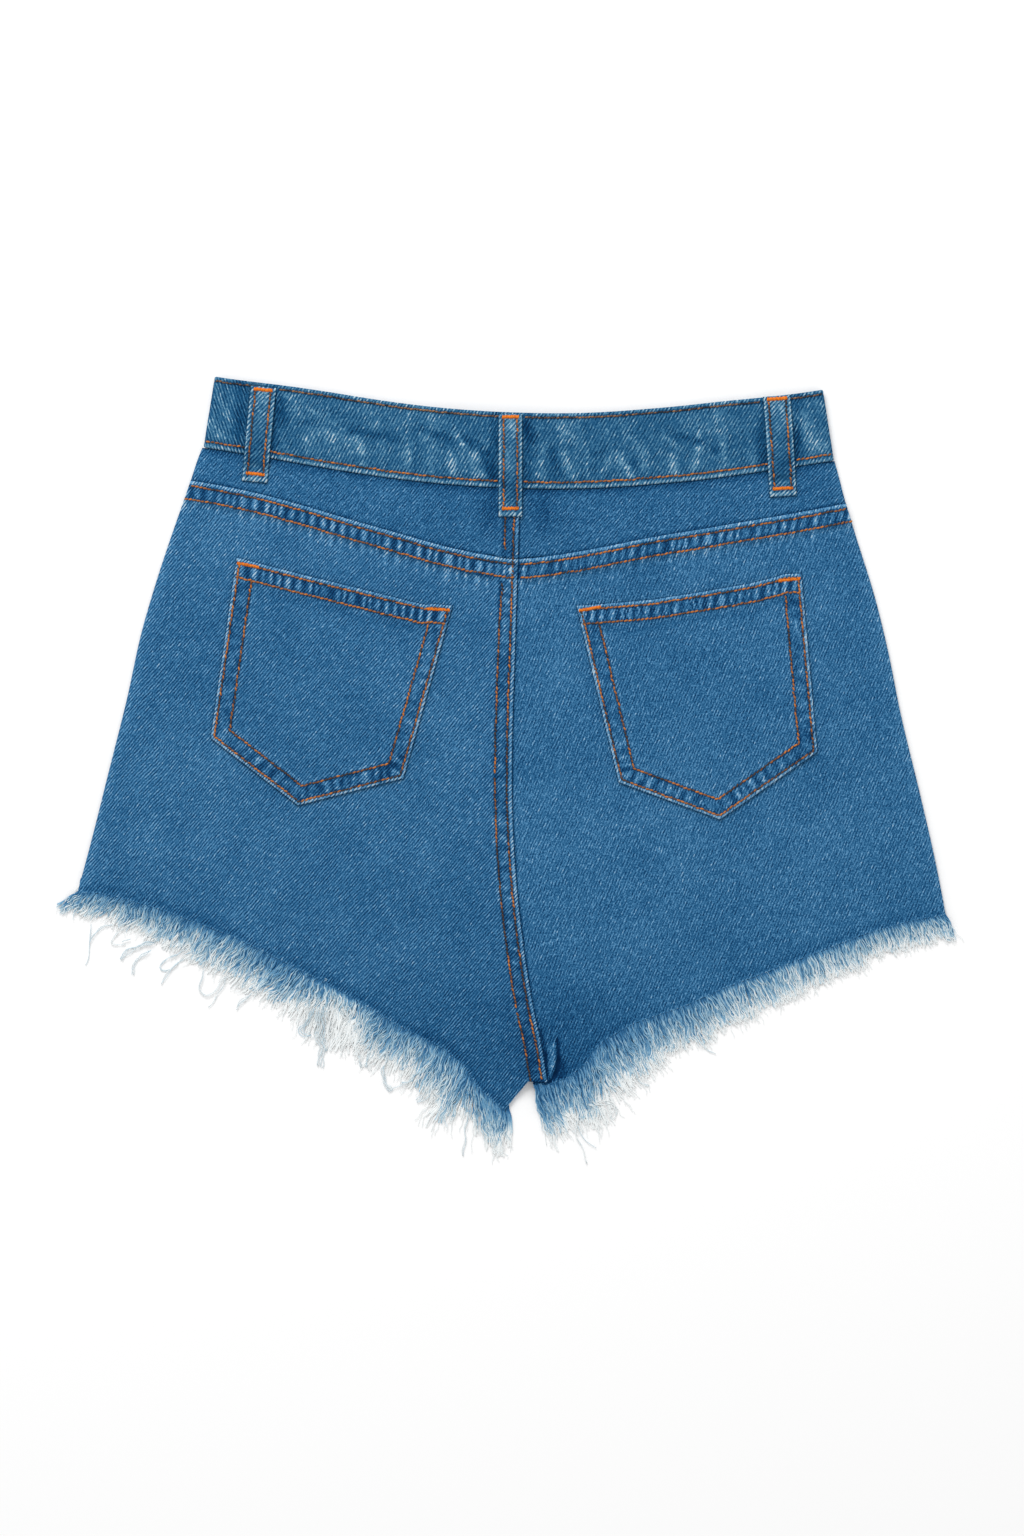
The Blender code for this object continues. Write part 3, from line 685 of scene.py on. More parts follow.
def fringeMaterial():
    # loose yarns: indigo near the cloth, bare cotton at the ends
    made, tree, shader = newMaterial("looseYarn", yarnLook["roughness"])
    fibre = centred(tree, noise(tree, objectPlace(tree), yarnLook["fibre"], 2.0))
    tone = scaled(tree, fibre, yarnLook["fibreTone"], attribute(tree, "tone"), clamp=True)
    paint(tree, shader, tone, tinted(yarnLook["stops"], yarnLook["light"]))
    relief(tree, shader, fibre, threadLook["relief"], 0.5)
    return made


threads = {kind: threadMaterial(kind) for kind in ("rust", "brown", "bright")}
looseYarn = fringeMaterial()


# meshes

totals = {}


def addMesh(name, points, quads, triangles, fields, material, smooth=True):
    mesh = bpy.data.meshes.new(name)
    faces = np.asarray(quads).tolist() + np.asarray(triangles).tolist()
    mesh.from_pydata((np.asarray(points) * millimetre).tolist(), [], faces)
    for label, values in fields.items():
        held = mesh.attributes.new(label, "FLOAT", "POINT")
        held.data.foreach_set("value", np.asarray(values, np.float32).ravel())
    if smooth:
        mesh.shade_smooth()
    mesh.materials.append(material)
    made = bpy.data.objects.new(name, mesh)
    bpy.context.scene.collection.objects.link(made)
    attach(made, "root")
    totals[name] = 2 * len(quads) + len(triangles)
    return made


def dress(made, node):
    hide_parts(node)
    return made


def shell(name, outer, inner, fields, material):
    # a closed wall between two grids of points, joined round its rim
    rows, columns = outer.shape[:2]
    under = rows * columns
    index = np.arange(under).reshape(rows, columns)
    corners = [index[:-1, :-1], index[1:, :-1], index[1:, 1:], index[:-1, 1:]]
    outside = np.stack(corners, -1).reshape(-1, 4)
    rim = np.concatenate((index[0, :], index[1:, -1], index[-1, -2::-1], index[-2:0:-1, 0]))
    after = np.roll(rim, -1)
    edge = np.stack([rim, after, after + under, rim + under], -1)
    quads = np.concatenate((outside, outside[:, ::-1] + under, edge))
    both = {label: np.concatenate((a.ravel(), b.ravel())) for label, (a, b) in fields.items()}
    points = np.concatenate((outer.reshape(-1, 3), inner.reshape(-1, 3)))
    return addMesh(name, points, quads, (), both, material)


# the points at each side of a grid, and the ones next to them
rims = {
    "top": (np.s_[0], np.s_[1]),
    "bottom": (np.s_[-1], np.s_[-2]),
    "start": (np.s_[:, 0], np.s_[:, 1]),
    "end": (np.s_[:, -1], np.s_[:, -2]),
}


def rounding(edge, thinnest):
    # share of the wall that is left where an edge is folded round
    return np.maximum(np.sqrt(1 - (1 - np.clip(edge, 0, 1)) ** 2), thinnest)


def clothPiece(name, grid, reach, height, wall, worn, darkAndShade, material, rounded, flare=(), up=True):
    # a sheet of cloth on its height, with rounded edges where it is folded
    edge = np.min([np.full(grid.shape[:2], 99.0), *(reach[side] for side in rounded)], axis=0)
    fullness = rounding(edge / cloth["edgeRound"], cloth["thinnest"])
    half = wall / 2 if up else -wall / 2
    outer, inner = (np.dstack((grid, height - half + way * half * fullness)) for way in (1, -1))
    # the inner side is painted darker as shade; a flared rim shows from above as a thin edge, painted dark
    # as a shadow line
    innerDeep = np.full(grid.shape[:2], cloth["insideDeep"])
    for side, width in flare:
        rim, beside = rims[side]
        away = grid[rim] - grid[beside]
        inner[rim][..., :2] += away / np.linalg.norm(away, axis=-1, keepdims=True) * width
        innerDeep[rim] = cloth["rimDeep"]
    if not up:
        outer, inner, worn, darkAndShade, innerDeep = (a[:, ::-1] for a in (outer, inner, worn, darkAndShade, innerDeep))
    fields = {"worn": (worn, np.zeros_like(worn)), "darkAndShade": (darkAndShade, innerDeep)}
    return shell(name, outer, inner, fields, material)


def tubeFaces(paths, radius, sidesOf, flatness):
    along = np.gradient(paths, axis=1)
    along /= np.maximum(np.linalg.norm(along, axis=-1, keepdims=True), 1e-9)
    side = np.cross(along, (0, 0, 1.0))
    side /= np.maximum(np.linalg.norm(side, axis=-1, keepdims=True), 1e-9)
    above = np.cross(side, along)
    turns = math.pi / 2 + 2 * math.pi * np.arange(sidesOf) / sidesOf
    points = paths[:, :, None] + radius[:, :, None, None] * (
        np.cos(turns)[:, None] * side[:, :, None] + flatness * np.sin(turns)[:, None] * above[:, :, None]
    )
    index = np.arange(points[..., 0].size).reshape(points.shape[:3])
    after = np.roll(index, -1, axis=2)
    quads = np.stack([index[:, :-1], index[:, 1:], after[:, 1:], after[:, :-1]], -1).reshape(-1, 4)
    caps = np.concatenate((index[:, 0], index[:, -1, ::-1]))
    triangles = np.concatenate([caps[:, (0, k, k + 1)] for k in range(1, sidesOf - 1)])
    return points.reshape(-1, 3), quads, triangles


def tubes(name, bundles, material, sidesOf=3, flatness=1.0):
    # many threads at once: each bundle has paths, threads by rings by 3, radii and tones
    parts, first = [], 0
    for paths, radius, tone in bundles:
        whole = np.ones(paths.shape[:2])
        points, quads, triangles = tubeFaces(paths, radius * whole, sidesOf, flatness)
        parts.append((points, quads + first, triangles + first, np.repeat(tone * whole, sidesOf)))
        first += len(points)
    points, quads, triangles, tones = (np.concatenate(part) for part in zip(*parts))
    return addMesh(name, points, quads, triangles, {"tone": tones}, material, flatness == 1)


# back panels

panel = {
    "columnStep": 1.25,
    "rowStep": 2.6,
    "seamRows": (0, 0.3, 0.7, 1.2, 1.8, 2.5, 3.2, 4.1, 5.2, 6.4, 7.6, 8.8, 9.8, 10.6, 11.4, 12.4,
                 13.6, 15.2),
    "edgeColumns": (0, 0.5, 1.3, 2.5, 4.5, 7, 9),
    "hemRows": (32, 29, 26, 23, 20, 17, 14.5, 12, 9.6, 7.4, 5.4, 3.6, 2.2, 1.1, 0.4, 0),
    "tongueColumns": (30, 27.5, 25, 23, 21, 19.6, 18.6, 17.8, 17, 16.3, 15.6, 14.9, 14.2, 13.5, 12.8,
                      12.1, 11.4, 10.7, 10, 9.3, 8.6, 7.8, 6, 4, 2, 0),
    "hemShade": {"left": 0.28, "right": 0.18},
    "stitchRows": (2.9, 10.6),
    "markRise": 0.7,
    "ropePitch": 5.6,
    "ropeSlant": 0.14,
    "ropeRise": 0.28,
    "groove": 0.14,
    "flare": 0.5,
    "frayedPale": 0.5,
    "sidePale": 0.16,
}
centreLap = {
    "stitch": 2.7,
    "farStitch": 9.4,
    "yokeStitch": 8.2,
    "pitch": 7.5,
    "puckers": 0.35,
    "fold": 0.5,
    "end": 12.5,
    "shade": 0.6,
}
# how pale or dark a lapped seam is at its fold, between its rows, beyond them and at the needle holes
seamTones = {
    "fold": 0.62,
    "palePucker": 0.85,
    "paleBeyond": 0.9,
    "darkPucker": 0.8,
    "darkBeyond": 0.12,
    "beyond": 9.0,
    "needle": 0.8,
    "needleWidth": 1.5,
}
# broad darker places of the back: strength, middle and reach
shadows = ((0.34, 20, -160, 52, 30), (0.10, -30, -130, 90, 50))

# the pleat beside the crotch: two grooves with a raised ear between them, with painted shade in and beside
# the grooves and a painted highlight on the ear
crotchMarks = rowsOf(Mark,
    (21.5, -150, 24.5, -164.5, 0.8, -0.7), (24.5, -164.5, 26, -178, 0.8, -1),
    (31, -155, 32, -167, 0.9, -1.3), (32, -167, 30.5, -175, 1.1, -1.8), (30.5, -175, 27, -180.5, 1.1, -1.9),
    (34.5, -169, 33.5, -176, 2.6, -0.6), (28.5, -159, 28.5, -171, 1.7, 0.5),
    (28.5, -171, 27, -178, 1.5, 0.6))


def hemPoints(side):
    y = hemStartY[side]
    start = (float(sideX[side](y)), y)
    if side == "left":
        return [start, *hems["left"], *inseam, crotch]
    return [start, *hems["right"], rightCorner]


def openHem(side):
    # the part of the cut edge that is frayed
    return hemPoints(side)[:-2] if side == "left" else hemPoints(side)


def grooves(distance, rows, width=1.1):
    return sum(bump(distance - row, width) for row in rows)


def speckled(worn, darkAndShade, spots, pale, dark):
    # paler where the spots are above 0, darker where they are below
    return worn + pale * np.clip(spots, 0, 1), darkAndShade + dark * np.clip(-spots, 0, 1)


def seamLook(distance, along, pitch, rows, seed, strength=1.0, fold=seamTones["fold"]):
    # a lapped, double stitched seam: pale fold, puckers between the rows, dark needle lines
    waves = roping(along + panel["ropeSlant"] * distance, pitch, seed)
    middle, half = (rows[0] + rows[1]) / 2, (rows[1] - rows[0]) / 2
    between = plateau(distance - middle, half - 1.5, half - 0.4)
    beyond = grow(distance - rows[1], 0.6, 1.2) * fade(distance - rows[1], 1, seamTones["beyond"])
    pale, dark = grow(waves, 0.1, 0.6), grow(-waves, -0.05, 0.6)
    ticks = 0.84 + 0.16 * wander(along, 1.1, seed + 5)
    worn = fold * fade(distance, 1.1, 1.0) * ticks
    worn = worn + strength * pale * (seamTones["palePucker"] * between + seamTones["paleBeyond"] * beyond)
    darkAndShade = strength * dark * (seamTones["darkPucker"] * between + seamTones["darkBeyond"] * beyond)
    darkAndShade = darkAndShade + 0.1 * between + seamTones["needle"] * grooves(distance, rows, seamTones["needleWidth"])
    return worn, darkAndShade, strength * waves * (between + 0.25 * beyond)


def lapLook(look, distance, y, farStitch, within=1.0):
    # blends the look of the centre lap into that of the cloth beside it
    worn, darkAndShade, rise = look
    rows, strength, fold = (centreLap["stitch"], farStitch), centreLap["puckers"], centreLap["fold"]
    lapWorn, lapDeep, lapRope = seamLook(distance, y, centreLap["pitch"], rows, 31, strength, fold)
    within = within * ease((centreLap["end"] - distance) / 1.5)
    worn = worn * (1 - within) + lapWorn * within
    darkAndShade = darkAndShade * (1 - within) + (lapDeep + 0.06) * within
    rise = rise * (1 - within) + 0.6 * lapRope * within
    return worn, darkAndShade, rise, within


def lapShade(distance):
    # the shadow beside the centre lap, on the right
    return centreLap["shade"] * fade(-distance, 0.3, 1.6)


def creaseLook(x, y, marks, slim=1.0):
    # paler or darker strokes, each raised or sunk as much as it is pale or dark
    worn, darkAndShade = np.zeros_like(x), np.zeros_like(x)
    for mark in marks:
        away = segmentDistance(x, y, (mark.x0, mark.y0), (mark.x1, mark.y1))
        soft = mark.strength * np.exp(-((away / mark.width / slim) ** 2))
        worn, darkAndShade = worn + np.maximum(soft, 0), darkAndShade + np.maximum(-soft, 0)
    return worn, darkAndShade, panel["markRise"] * (worn - darkAndShade)


def lowerShade(x, y):
    return sum(strength * glow(x, y, *spot) for strength, *spot in shadows)


def makeBack(side):
    left = side == "left"
    centreColumns = panel["seamRows"][::-1] if left else panel["tongueColumns"]
    grid, reach, x, y = sideGrid(
        side, yokeY, Line(hemPoints(side)),
        (panel["edgeColumns"], panel["columnStep"], centreColumns),
        (panel["seamRows"], panel["rowStep"], panel["hemRows"]),
    )
    edge, yokeDistance, centreDistance = reach["start"], reach["top"], seamX(y) - x
    hemDistance = lineDistance(x, y, openHem(side))
    rows, groove = panel["stitchRows"], panel["groove"]
    seed, strength = (7, 1.0) if left else (19, 0.8)
    worn, darkAndShade, rise = seamLook(yokeDistance, x, panel["ropePitch"], rows, seed, strength)
    shape = -groove * grooves(yokeDistance, rows)
    if left:
        # the centre lap, which the yoke's rows run across
        far = centreLap["farStitch"]
        beside = grow(yokeDistance, 12, 2)
        worn, darkAndShade, rise, within = lapLook((worn, darkAndShade, rise), centreDistance, y, far, beside)
        lapGrooves = grooves(centreDistance, (centreLap["stitch"], far))
        shape = shape * (1 - within) - groove * lapGrooves * within
        worn, darkAndShade = speckled(worn, darkAndShade, cloudy(x, y, 2.6, 37) * within, 0.4, 0.3)
        worn = np.maximum(worn, 0.6 * fade(centreDistance, 1.1, 1.0))
        knob = glow(centreDistance, yokeDistance, 4.6, 6.4, 2.4, 2.8)
        worn, shape = worn + 0.6 * knob, shape + 0.3 * knob
        worn = worn + 0.25 * ease(1 - segmentDistance(x, y, *inseam) / 1.5)
    else:
        darkAndShade = darkAndShade + lapShade(centreDistance)
        rise = rise * ease(-centreDistance / 3)
        # the pleat's painted shade, and its painted highlight added to the worn field
        earLit, earDeep, earShape = creaseLook(x, y, crotchMarks)
        worn, darkAndShade, shape = worn + earLit, darkAndShade + earDeep, shape + earShape
    darkAndShade = darkAndShade + lowerShade(x, y) + panel["hemShade"][side] * fade(hemDistance, 1, 9) ** 1.4
    worn = worn + panel["sidePale"] * fade(edge, 0.5, 7)
    worn = worn + panel["frayedPale"] * fade(hemDistance, 0, 1.6)
    worn = worn + 0.06 * cloudy(x, y, 26, 3) * ease(edge / 20)
    height = panelHeight(x, y, side) + panel["ropeRise"] * rise + shape
    height = height + uneven(x, y) * ease(hemDistance / 10) * ease(edge / 12)
    flared = ("top", "end") if left else ("top",)
    made = clothPiece(
        f"back_{side}_cloth", grid, reach, height, cloth["wall"], worn, darkAndShade, denims[f"{side}Panel"],
        ("start", *flared), [(rim, panel["flare"]) for rim in flared],
    )
    return dress(made, f"back_{side}")


backs = {side: makeBack(side) for side in sideX}
print("back panels made:", totals)


# yokes

yoke = {
    "step": 1.9,
    "topRows": (0, 0.6, 1.5, 3),
    "footRows": (3, 1.4, 0),
    "tongueColumns": (30, 24, 15, 11, 9.6, 8.6, 7.4, 4, 2, 0),
    "sidePale": 0.14,
    "bandShade": 0.40,
    "seamShade": 0.6,
    "shadows": ((0.45, -14, 151, 8, 12), (0.45, 15, 151, 8, 12)),
}


def makeYoke(side):
    left = side == "left"
    foot = across(yokeFoot, meet(yokeFoot, sideX[side]), meet(yokeFoot, centreX[side]), 200)
    centreColumns = panel["seamRows"][::-1] if left else yoke["tongueColumns"]
    grid, reach, x, y = sideGrid(
        side, waistY, foot,
        (panel["edgeColumns"], yoke["step"], centreColumns),
        (yoke["topRows"], yoke["step"], yoke["footRows"]),
    )
    centreDistance, belowBand = seamX(y) - x, bandY(x) - y
    worn = yoke["sidePale"] * fade(reach["start"], 0.5, 7) + 0.06 * cloudy(x, y, 24, 5)
    darkAndShade = yoke["bandShade"] * fade(belowBand, 0.5, 6)
    darkAndShade = darkAndShade + yoke["seamShade"] * ease(1 - (y - yokeY(x)) / 2.4)
    for strength, *spot in yoke["shadows"]:
        darkAndShade = darkAndShade + strength * glow(x, y, *spot)
    rise = np.zeros_like(x)
    if left:
        worn, darkAndShade, rise, _ = lapLook((worn, darkAndShade, rise), centreDistance, y, centreLap["yokeStitch"])
    else:
        darkAndShade = darkAndShade + lapShade(centreDistance)
    height = yokeHeight(x, y, side) + panel["ropeRise"] * rise
    height = height + 0.1 * cloudy(x, y, 20, 13) * ease(belowBand / 10) * ease(reach["bottom"] / 10)
    made = clothPiece(
        f"yoke_{side}_cloth", grid, reach, height, cloth["wall"], worn, darkAndShade, denims["yoke"],
        ("start", "end") if left else ("start",), (("end", panel["flare"]),) if left else (),
    )
    return dress(made, f"yoke_{side}")


yokes = {side: makeYoke(side) for side in sideX}


# front panels, which rest on the floor

front = {
    "step": 4.2,
    "topRows": (0, 1, 3, 6),
    "hemRows": (6, 3, 1, 0),
    "sideColumns": (0, 0.6, 2, 6),
    "centreColumns": (22, 17, 13, 10.4, 9.4, 8.4, 6.2, 4, 3, 2, 0.8, 0),
    "hemRise": 8.0,
    "crotchX": 20.0,
    "crotchReach": 60.0,
    "inseamShorter": 0.15,
    "seamStitches": (3.0, 9.4),
    "flyReach": 33.0,
    "flyStep": 6.5,
    "flyFoot": 46.0,
    "groove": 0.3,
}


def frontHem(side):
    hem, end = hemPoints(side), []
    if side == "left":
        leg, corner = np.array(inseam)
        end = [leg + front["inseamShorter"] * (corner - leg), corner, crotch]
        hem = hem[:-3]
    rise, middle, reach = front["hemRise"], front["crotchX"], front["crotchReach"]
    shifted = [(x, y + rise * float(ease(abs(x - middle) / reach))) for x, y in hem[1:]]
    y = hem[0][1] + rise
    return [(float(sideX[side](y)), y), *shifted, *end]


def frayedLine(side, kind):
    if kind == "back":
        return Line(openHem(side))
    return Line(frontHem(side)[:-2] if side == "left" else frontHem(side))


def makeFront(side):
    left = side == "left"
    grid, reach, x, y = sideGrid(
        side, waistY, Line(frontHem(side)),
        (front["sideColumns"], front["step"], front["centreColumns"]),
        (front["topRows"], front["step"], front["hemRows"]),
    )
    hemDistance = lineDistance(x, y, frayedLine(side, "front").points)
    worn = panel["sidePale"] * fade(reach["start"], 0, 8) + 0.08 * cloudy(x, y, 30, 23)
    worn = worn + panel["frayedPale"] * fade(hemDistance, 0, 3)
    darkAndShade = 0.30 * fade(hemDistance, 0, 9) + lowerShade(x, y)
    height = frontHeight(x, y, side)
    if not left:
        seamDistance = x - seamX(y) + cloth["tongue"]
        worn = worn + 0.8 * bump(seamDistance, 1.5)
        darkAndShade = darkAndShade + 0.3 * grooves(seamDistance, front["seamStitches"], 1.2)
        height = height + front["groove"] * grooves(seamDistance, front["seamStitches"], 1.3)
    made = clothPiece(
        f"front_{side}_cloth", grid, reach, height, cloth["wall"], worn, darkAndShade, denims[f"{side}Panel"],
        ("start",) if left else ("start", "end"), up=False,
    )
    return dress(made, f"front_{side}")


fronts = {side: makeFront(side) for side in sideX}
print("yokes and fronts made")


# waistband: a ring pressed flat

# strokes on the back of the band: the pale ones are worn whiskers, the dark ones painted shade, beside the
# loops as their shadows and along creases
bandMarks = rowsOf(Mark,
    (-122, 189.5, -121.5, 181.5, 3.2, 0.5), (-104.5, 187.5, -104, 178, 3.2, 0.5),
    (-92, 190, -88, 177, 3.6, 0.9), (-79, 189, -77.5, 179, 3.4, 0.7), (-64, 190, -63, 174.5, 3.8, 0.9),
    (-50.5, 181, -49.5, 172.5, 3, 0.5), (-38.5, 183, -36, 171.5, 3.4, 0.9),
    (-25, 184.5, -21, 169.5, 3.6, 1), (-132, 217, -128, 203.5, 5, 0.4),
    (-114.5, 209.5, -114, 203.5, 4, 0.4), (-86.5, 211, -81.5, 199.5, 6, 0.45),
    (-62, 208, -62.5, 201, 4.5, 0.5), (-49.5, 206, -51.5, 195.5, 4.5, 0.5),
    (-115, 193, -97.5, 191, 8, 0.35), (-56.5, 195, -53, 191, 2, 0.8), (-35, 193, -29.5, 187.5, 2.2, 1.1),
    (-95.5, 195, -68.5, 191.5, 3.6, -0.8), (-56, 197, -37.5, 191, 3.4, -0.8),
    (-30.5, 191.5, -16.5, 183.5, 4, -1), (-137.5, 211, -135.5, 201, 5, -0.8),
    (-127, 200, -114, 199.5, 3, -0.7), (-18, 180, -13.5, 169.5, 4, -0.9), (15.5, 189, 15, 170.5, 3, 0.5),
    (27.5, 184, 33, 172, 3.6, 0.95), (40.5, 181.5, 42, 171.5, 2.6, 0.6), (53, 182, 50, 173, 3, 0.6),
    (59.5, 184.5, 66.5, 173, 3.6, 0.95), (74.5, 187.5, 74, 177, 3.2, 0.6), (90.5, 185, 92, 175, 3.6, 0.9),
    (107, 190.5, 103, 179, 3.6, 0.9), (119.5, 191, 121.5, 179.5, 3.2, 0.75), (135, 190, 137, 182.5, 3, 0.6),
    (85, 196.5, 94.5, 188, 2.2, 0.8), (105.5, 198, 113, 191.5, 2.2, 1.1), (4, 201.5, 10.5, 192.5, 5, -0.8),
    (19.5, 185, 25, 173.5, 3.6, -0.7), (44, 184, 52, 187, 3, -0.6), (68.5, 182, 70, 174.5, 3, -0.6),
    (94, 196.5, 107, 193, 3, -0.8), (108.5, 195.5, 116, 188.5, 3, -0.9), (139, 198, 144.5, 182.5, 5, -0.6),
    (27, 203, 28.5, 193, 5, 0.4), (63, 202.5, 64.5, 193.5, 5.5, 0.4), (114.5, 209, 120, 198.5, 5.5, 0.45),
    (163.5, 207.5, 175.5, 191, 8, 0.6), (162.5, 202, 162.5, 186.5, 3, -0.5), (-174, 214, -166, 201, 3, 0.7),
    (-178, 198, -170, 189, 3, 0.8))


def bandHeight(x):
    start, end = waistband["taper"]
    share = ease((np.abs(x) - start) / (end - start))
    return waistband["height"] + (waistband["sideHeight"] - waistband["height"]) * share


bandLine = across(bandY, bandEdge[0], bandEdge[-1], 240)


def bandPoint(x, share):
    # a point of the band at a share of its height above its lower edge
    t = np.interp(x, bandLine.points[:, 0], bandLine.spots)
    up = -bandLine.normal(t, 20)
    return bandLine.at(t) + up * (share * bandHeight(x))[..., None]


def bandPath():
    # x and z round the ring, from the buttoned end to the underlap, with outward normals
    left, right, step = bandEdge[0].x, bandEdge[-1].x, waistband["step"]
    radius = waistband["top"] / 2
    turns = np.radians(np.linspace(-90, 90, 15))
    first = np.arange(waistband["buttonedEnd"], left + radius + 0.5, -step)
    first = np.concatenate((first[:1], first[:1] - (0.3, 0.8), first[1:]))
    back = np.arange(left + radius + 0.5, right - radius, step)
    last = np.arange(right - radius - 0.5, waistband["underlapEnd"], -step)
    underlap = (waistband["wall"] + cloth["gap"]) * ease((20 - last) / 14)
    x = np.concatenate((
        first, left + radius * (1 - np.cos(turns)), back, right - radius * (1 - np.cos(turns)), last))
    z = np.concatenate((
        frontLift(first), radius * (1 + np.sin(turns)), waistband["top"] + bandRise(back),
        radius * (1 + np.sin(turns[::-1])), frontLift(last) + underlap))
    lengths = np.concatenate(([0], np.cumsum(np.hypot(np.diff(x), np.diff(z)))))
    dx, dz = np.gradient(x, lengths), np.gradient(z, lengths)
    return x, z, np.stack([-dz, dx], -1) / np.hypot(dx, dz)[:, None], lengths


def makeWaistband():
    x, z, outward, lengths = bandPath()
    edgeRows, wall = waistband["edgeRows"], waistband["wall"]
    flat, share = spacing(edgeRows, waistband["rowStep"], edgeRows[::-1], waistband["height"])
    shares = (flat / waistband["height"] + share)[:, None]
    foot, fromTop = shares * bandHeight(x), (1 - shares) * bandHeight(x)
    xy = bandPoint(np.broadcast_to(x, foot.shape), np.broadcast_to(shares, foot.shape))
    px, py = xy[..., 0], xy[..., 1]
    onBack = grow(z, 2.2, 1.5)
    # listed puckers on the back, and even ones on the front, which rests on the floor
    waves = roping(lengths + 0.22 * foot, waistband["whiskerPitch"], 53)
    lower = grow(foot, 3.6, 3) * ease((24 - foot) / 12) * (1 - onBack)
    within = grow(foot, 3.4, 2) * grow(fromTop, 3.0, 2) * onBack
    blotches = cloudy(px + 0.35 * py, py * 0.6, 8, 61) * grow(foot, 4, 6) * grow(fromTop, 3, 4)
    markWorn, markDeep, rise = creaseLook(px, py, bandMarks, 0.7)
    ragged = 0.85 + 0.5 * cloudy(px, py, 2.4, 67)
    worn = markWorn * ragged * within * waistband["worn"] + 0.5 * np.clip(waves, 0, 1) * lower
    # painted shade from the dark strokes, and darker dye between the front's puckers
    darkAndShade = 0.6 * markDeep * within + 0.3 * np.clip(-waves, 0, 1) * lower
    worn, darkAndShade = speckled(worn, darkAndShade, blotches, 0.16, 0.16)
    rise = 0.22 * rise * within + 0.09 * (waves - 1) * lower + 0.08 * blotches * onBack
    ticks = 0.5 + 0.5 * wander(lengths, 0.9, 71)
    worn = worn + 0.62 * fade(foot, 1.3, 0.9) + 0.5 * fade(fromTop, 1.4, 0.7) * ticks
    for distance, stitch, dark in ((foot, "footStitch", 0.4), (fromTop, "topStitch", 0.45)):
        row = waistband[stitch]
        darkAndShade = darkAndShade + dark * bump(distance - row, 1.3)
        rise = rise - waistband["groove"] * bump(distance - row, 1.1)
    for loop in waistband["loopShade"]:
        darkAndShade = darkAndShade + 0.42 * bump(np.abs(px - loop) - 9.5, 5.5) * onBack
    fullness = rounding(np.minimum(foot, fromTop) / (wall / 2), 0.3)
    ends = np.minimum(lengths, lengths[-1] - lengths)
    fullness = np.minimum(fullness, np.clip(0.3 + ends / 0.8, 0, 1))
    middle = np.stack(np.broadcast_arrays(px, z), -1) - outward * wall / 2
    out = middle + outward * (wall / 2 * fullness + rise)[..., None]
    inn = middle - outward * (wall / 2 * fullness)[..., None]
    outer, inner = (np.dstack((xz[..., 0], py, xz[..., 1])) for xz in (out, inn))
    # the foot's inner rim is moved out so it shows from above as a thin edge, painted dark as a shadow line
    # under the band; the inside is painted as shade
    inner[0, :, 1] -= 0.35 * onBack
    innerDeep = np.full(px.shape, waistband["insideDeep"])
    innerDeep[0] = cloth["rimDeep"]
    turned = ease((-147 - px) / 9) * onBack
    fields = {"worn": (worn, np.zeros_like(worn)), "darkAndShade": (darkAndShade, innerDeep), "turned": (turned, turned)}
    made = shell("waistband_cloth", outer, inner, fields, denims["band"])
    return dress(made, "waistband")


band = makeWaistband()
print("waistband made")


# patch pockets

pockets = (
    Pocket("pocket_left", "left", Spot(-160.6, 120.2), Spot(-35.3, 95.0), Spot(-173.5, 15.5),
           Spot(-122.2, -22.3), Spot(-61.7, -5.4),
           ((0.15, 0.7), (0.36, 1.5), (0.6, 2.1), (0.79, 2.8), (0.88, 3.0), (0.915, 1.3))),
    Pocket("pocket_right", "right", Spot(37.1, 96.5), Spot(166.6, 117.8), Spot(63.6, -5.0),
           Spot(122.6, -25.3), Spot(178.1, 14.8),
           ((0.11, 1.1), (0.335, 2.8), (0.6, 2.2), (0.78, 1.4), (0.895, -0.3), (0.925, -1.2))),
)
pocketLook = {
    "step": 1.7,
    "hem": (11.0, 13.5),  # how far it is folded double, and where that ends
    "border": (9.5, 12.0),
    "rise": 0.4,
    "topStitches": (2.3, 10.6),
    "sideStitches": (1.9, 10.2),
    "edgeSteps": (0, 0.3, 0.7, 1.2, 1.9, 2.6, 3.6, 4.8, 6.0, 7.2, 8.4, 9.4, 10.2, 11.0, 12.0, 13.2),
    "topPitch": 5.2,
    "sidePitch": 6.2,
    "shade": {"left": 0.06, "right": 0},
    "seed": {"left": 83, "right": 97},
    "rowEnds": (3.2, 11.6),
    "tack": (0.8, 13.6),  # from and to, along the opening from each corner
    "tackBelow": 2.4,
    "tackWidth": 2.0,
    "cornerShade": 0.34,
}


def pocketTop(pocket):
    # the opening, which sags a little between its corners: places along it, and how far below
    straight = Line((pocket.topStart, pocket.topEnd))
    way = straight.normal(0.5)
    between = [straight.at(t) + way * sag for t, sag in pocket.sag]
    return Line((pocket.topStart, *between, pocket.topEnd), (0, *(t for t, sag in pocket.sag), 1))


def pocketRim(pocket):
    return pocket.topEnd, pocket.footEnd, pocket.tip, pocket.footStart, pocket.topStart


def pocketHeight(pocket, x, y):
    # the height of a pocket, thicker where it is folded, and distances from its sides and its top
    border = lineDistance(x, y, pocketRim(pocket))
    hem = lineDistance(x, y, pocketTop(pocket).points)
    folded = np.maximum(plateau(border, *pocketLook["border"]), plateau(hem, *pocketLook["hem"]))
    ground = panelHeight(x, y, pocket.side) + uneven(x, y)
    return ground + lapRise + pocketLook["rise"] * folded, border, hem


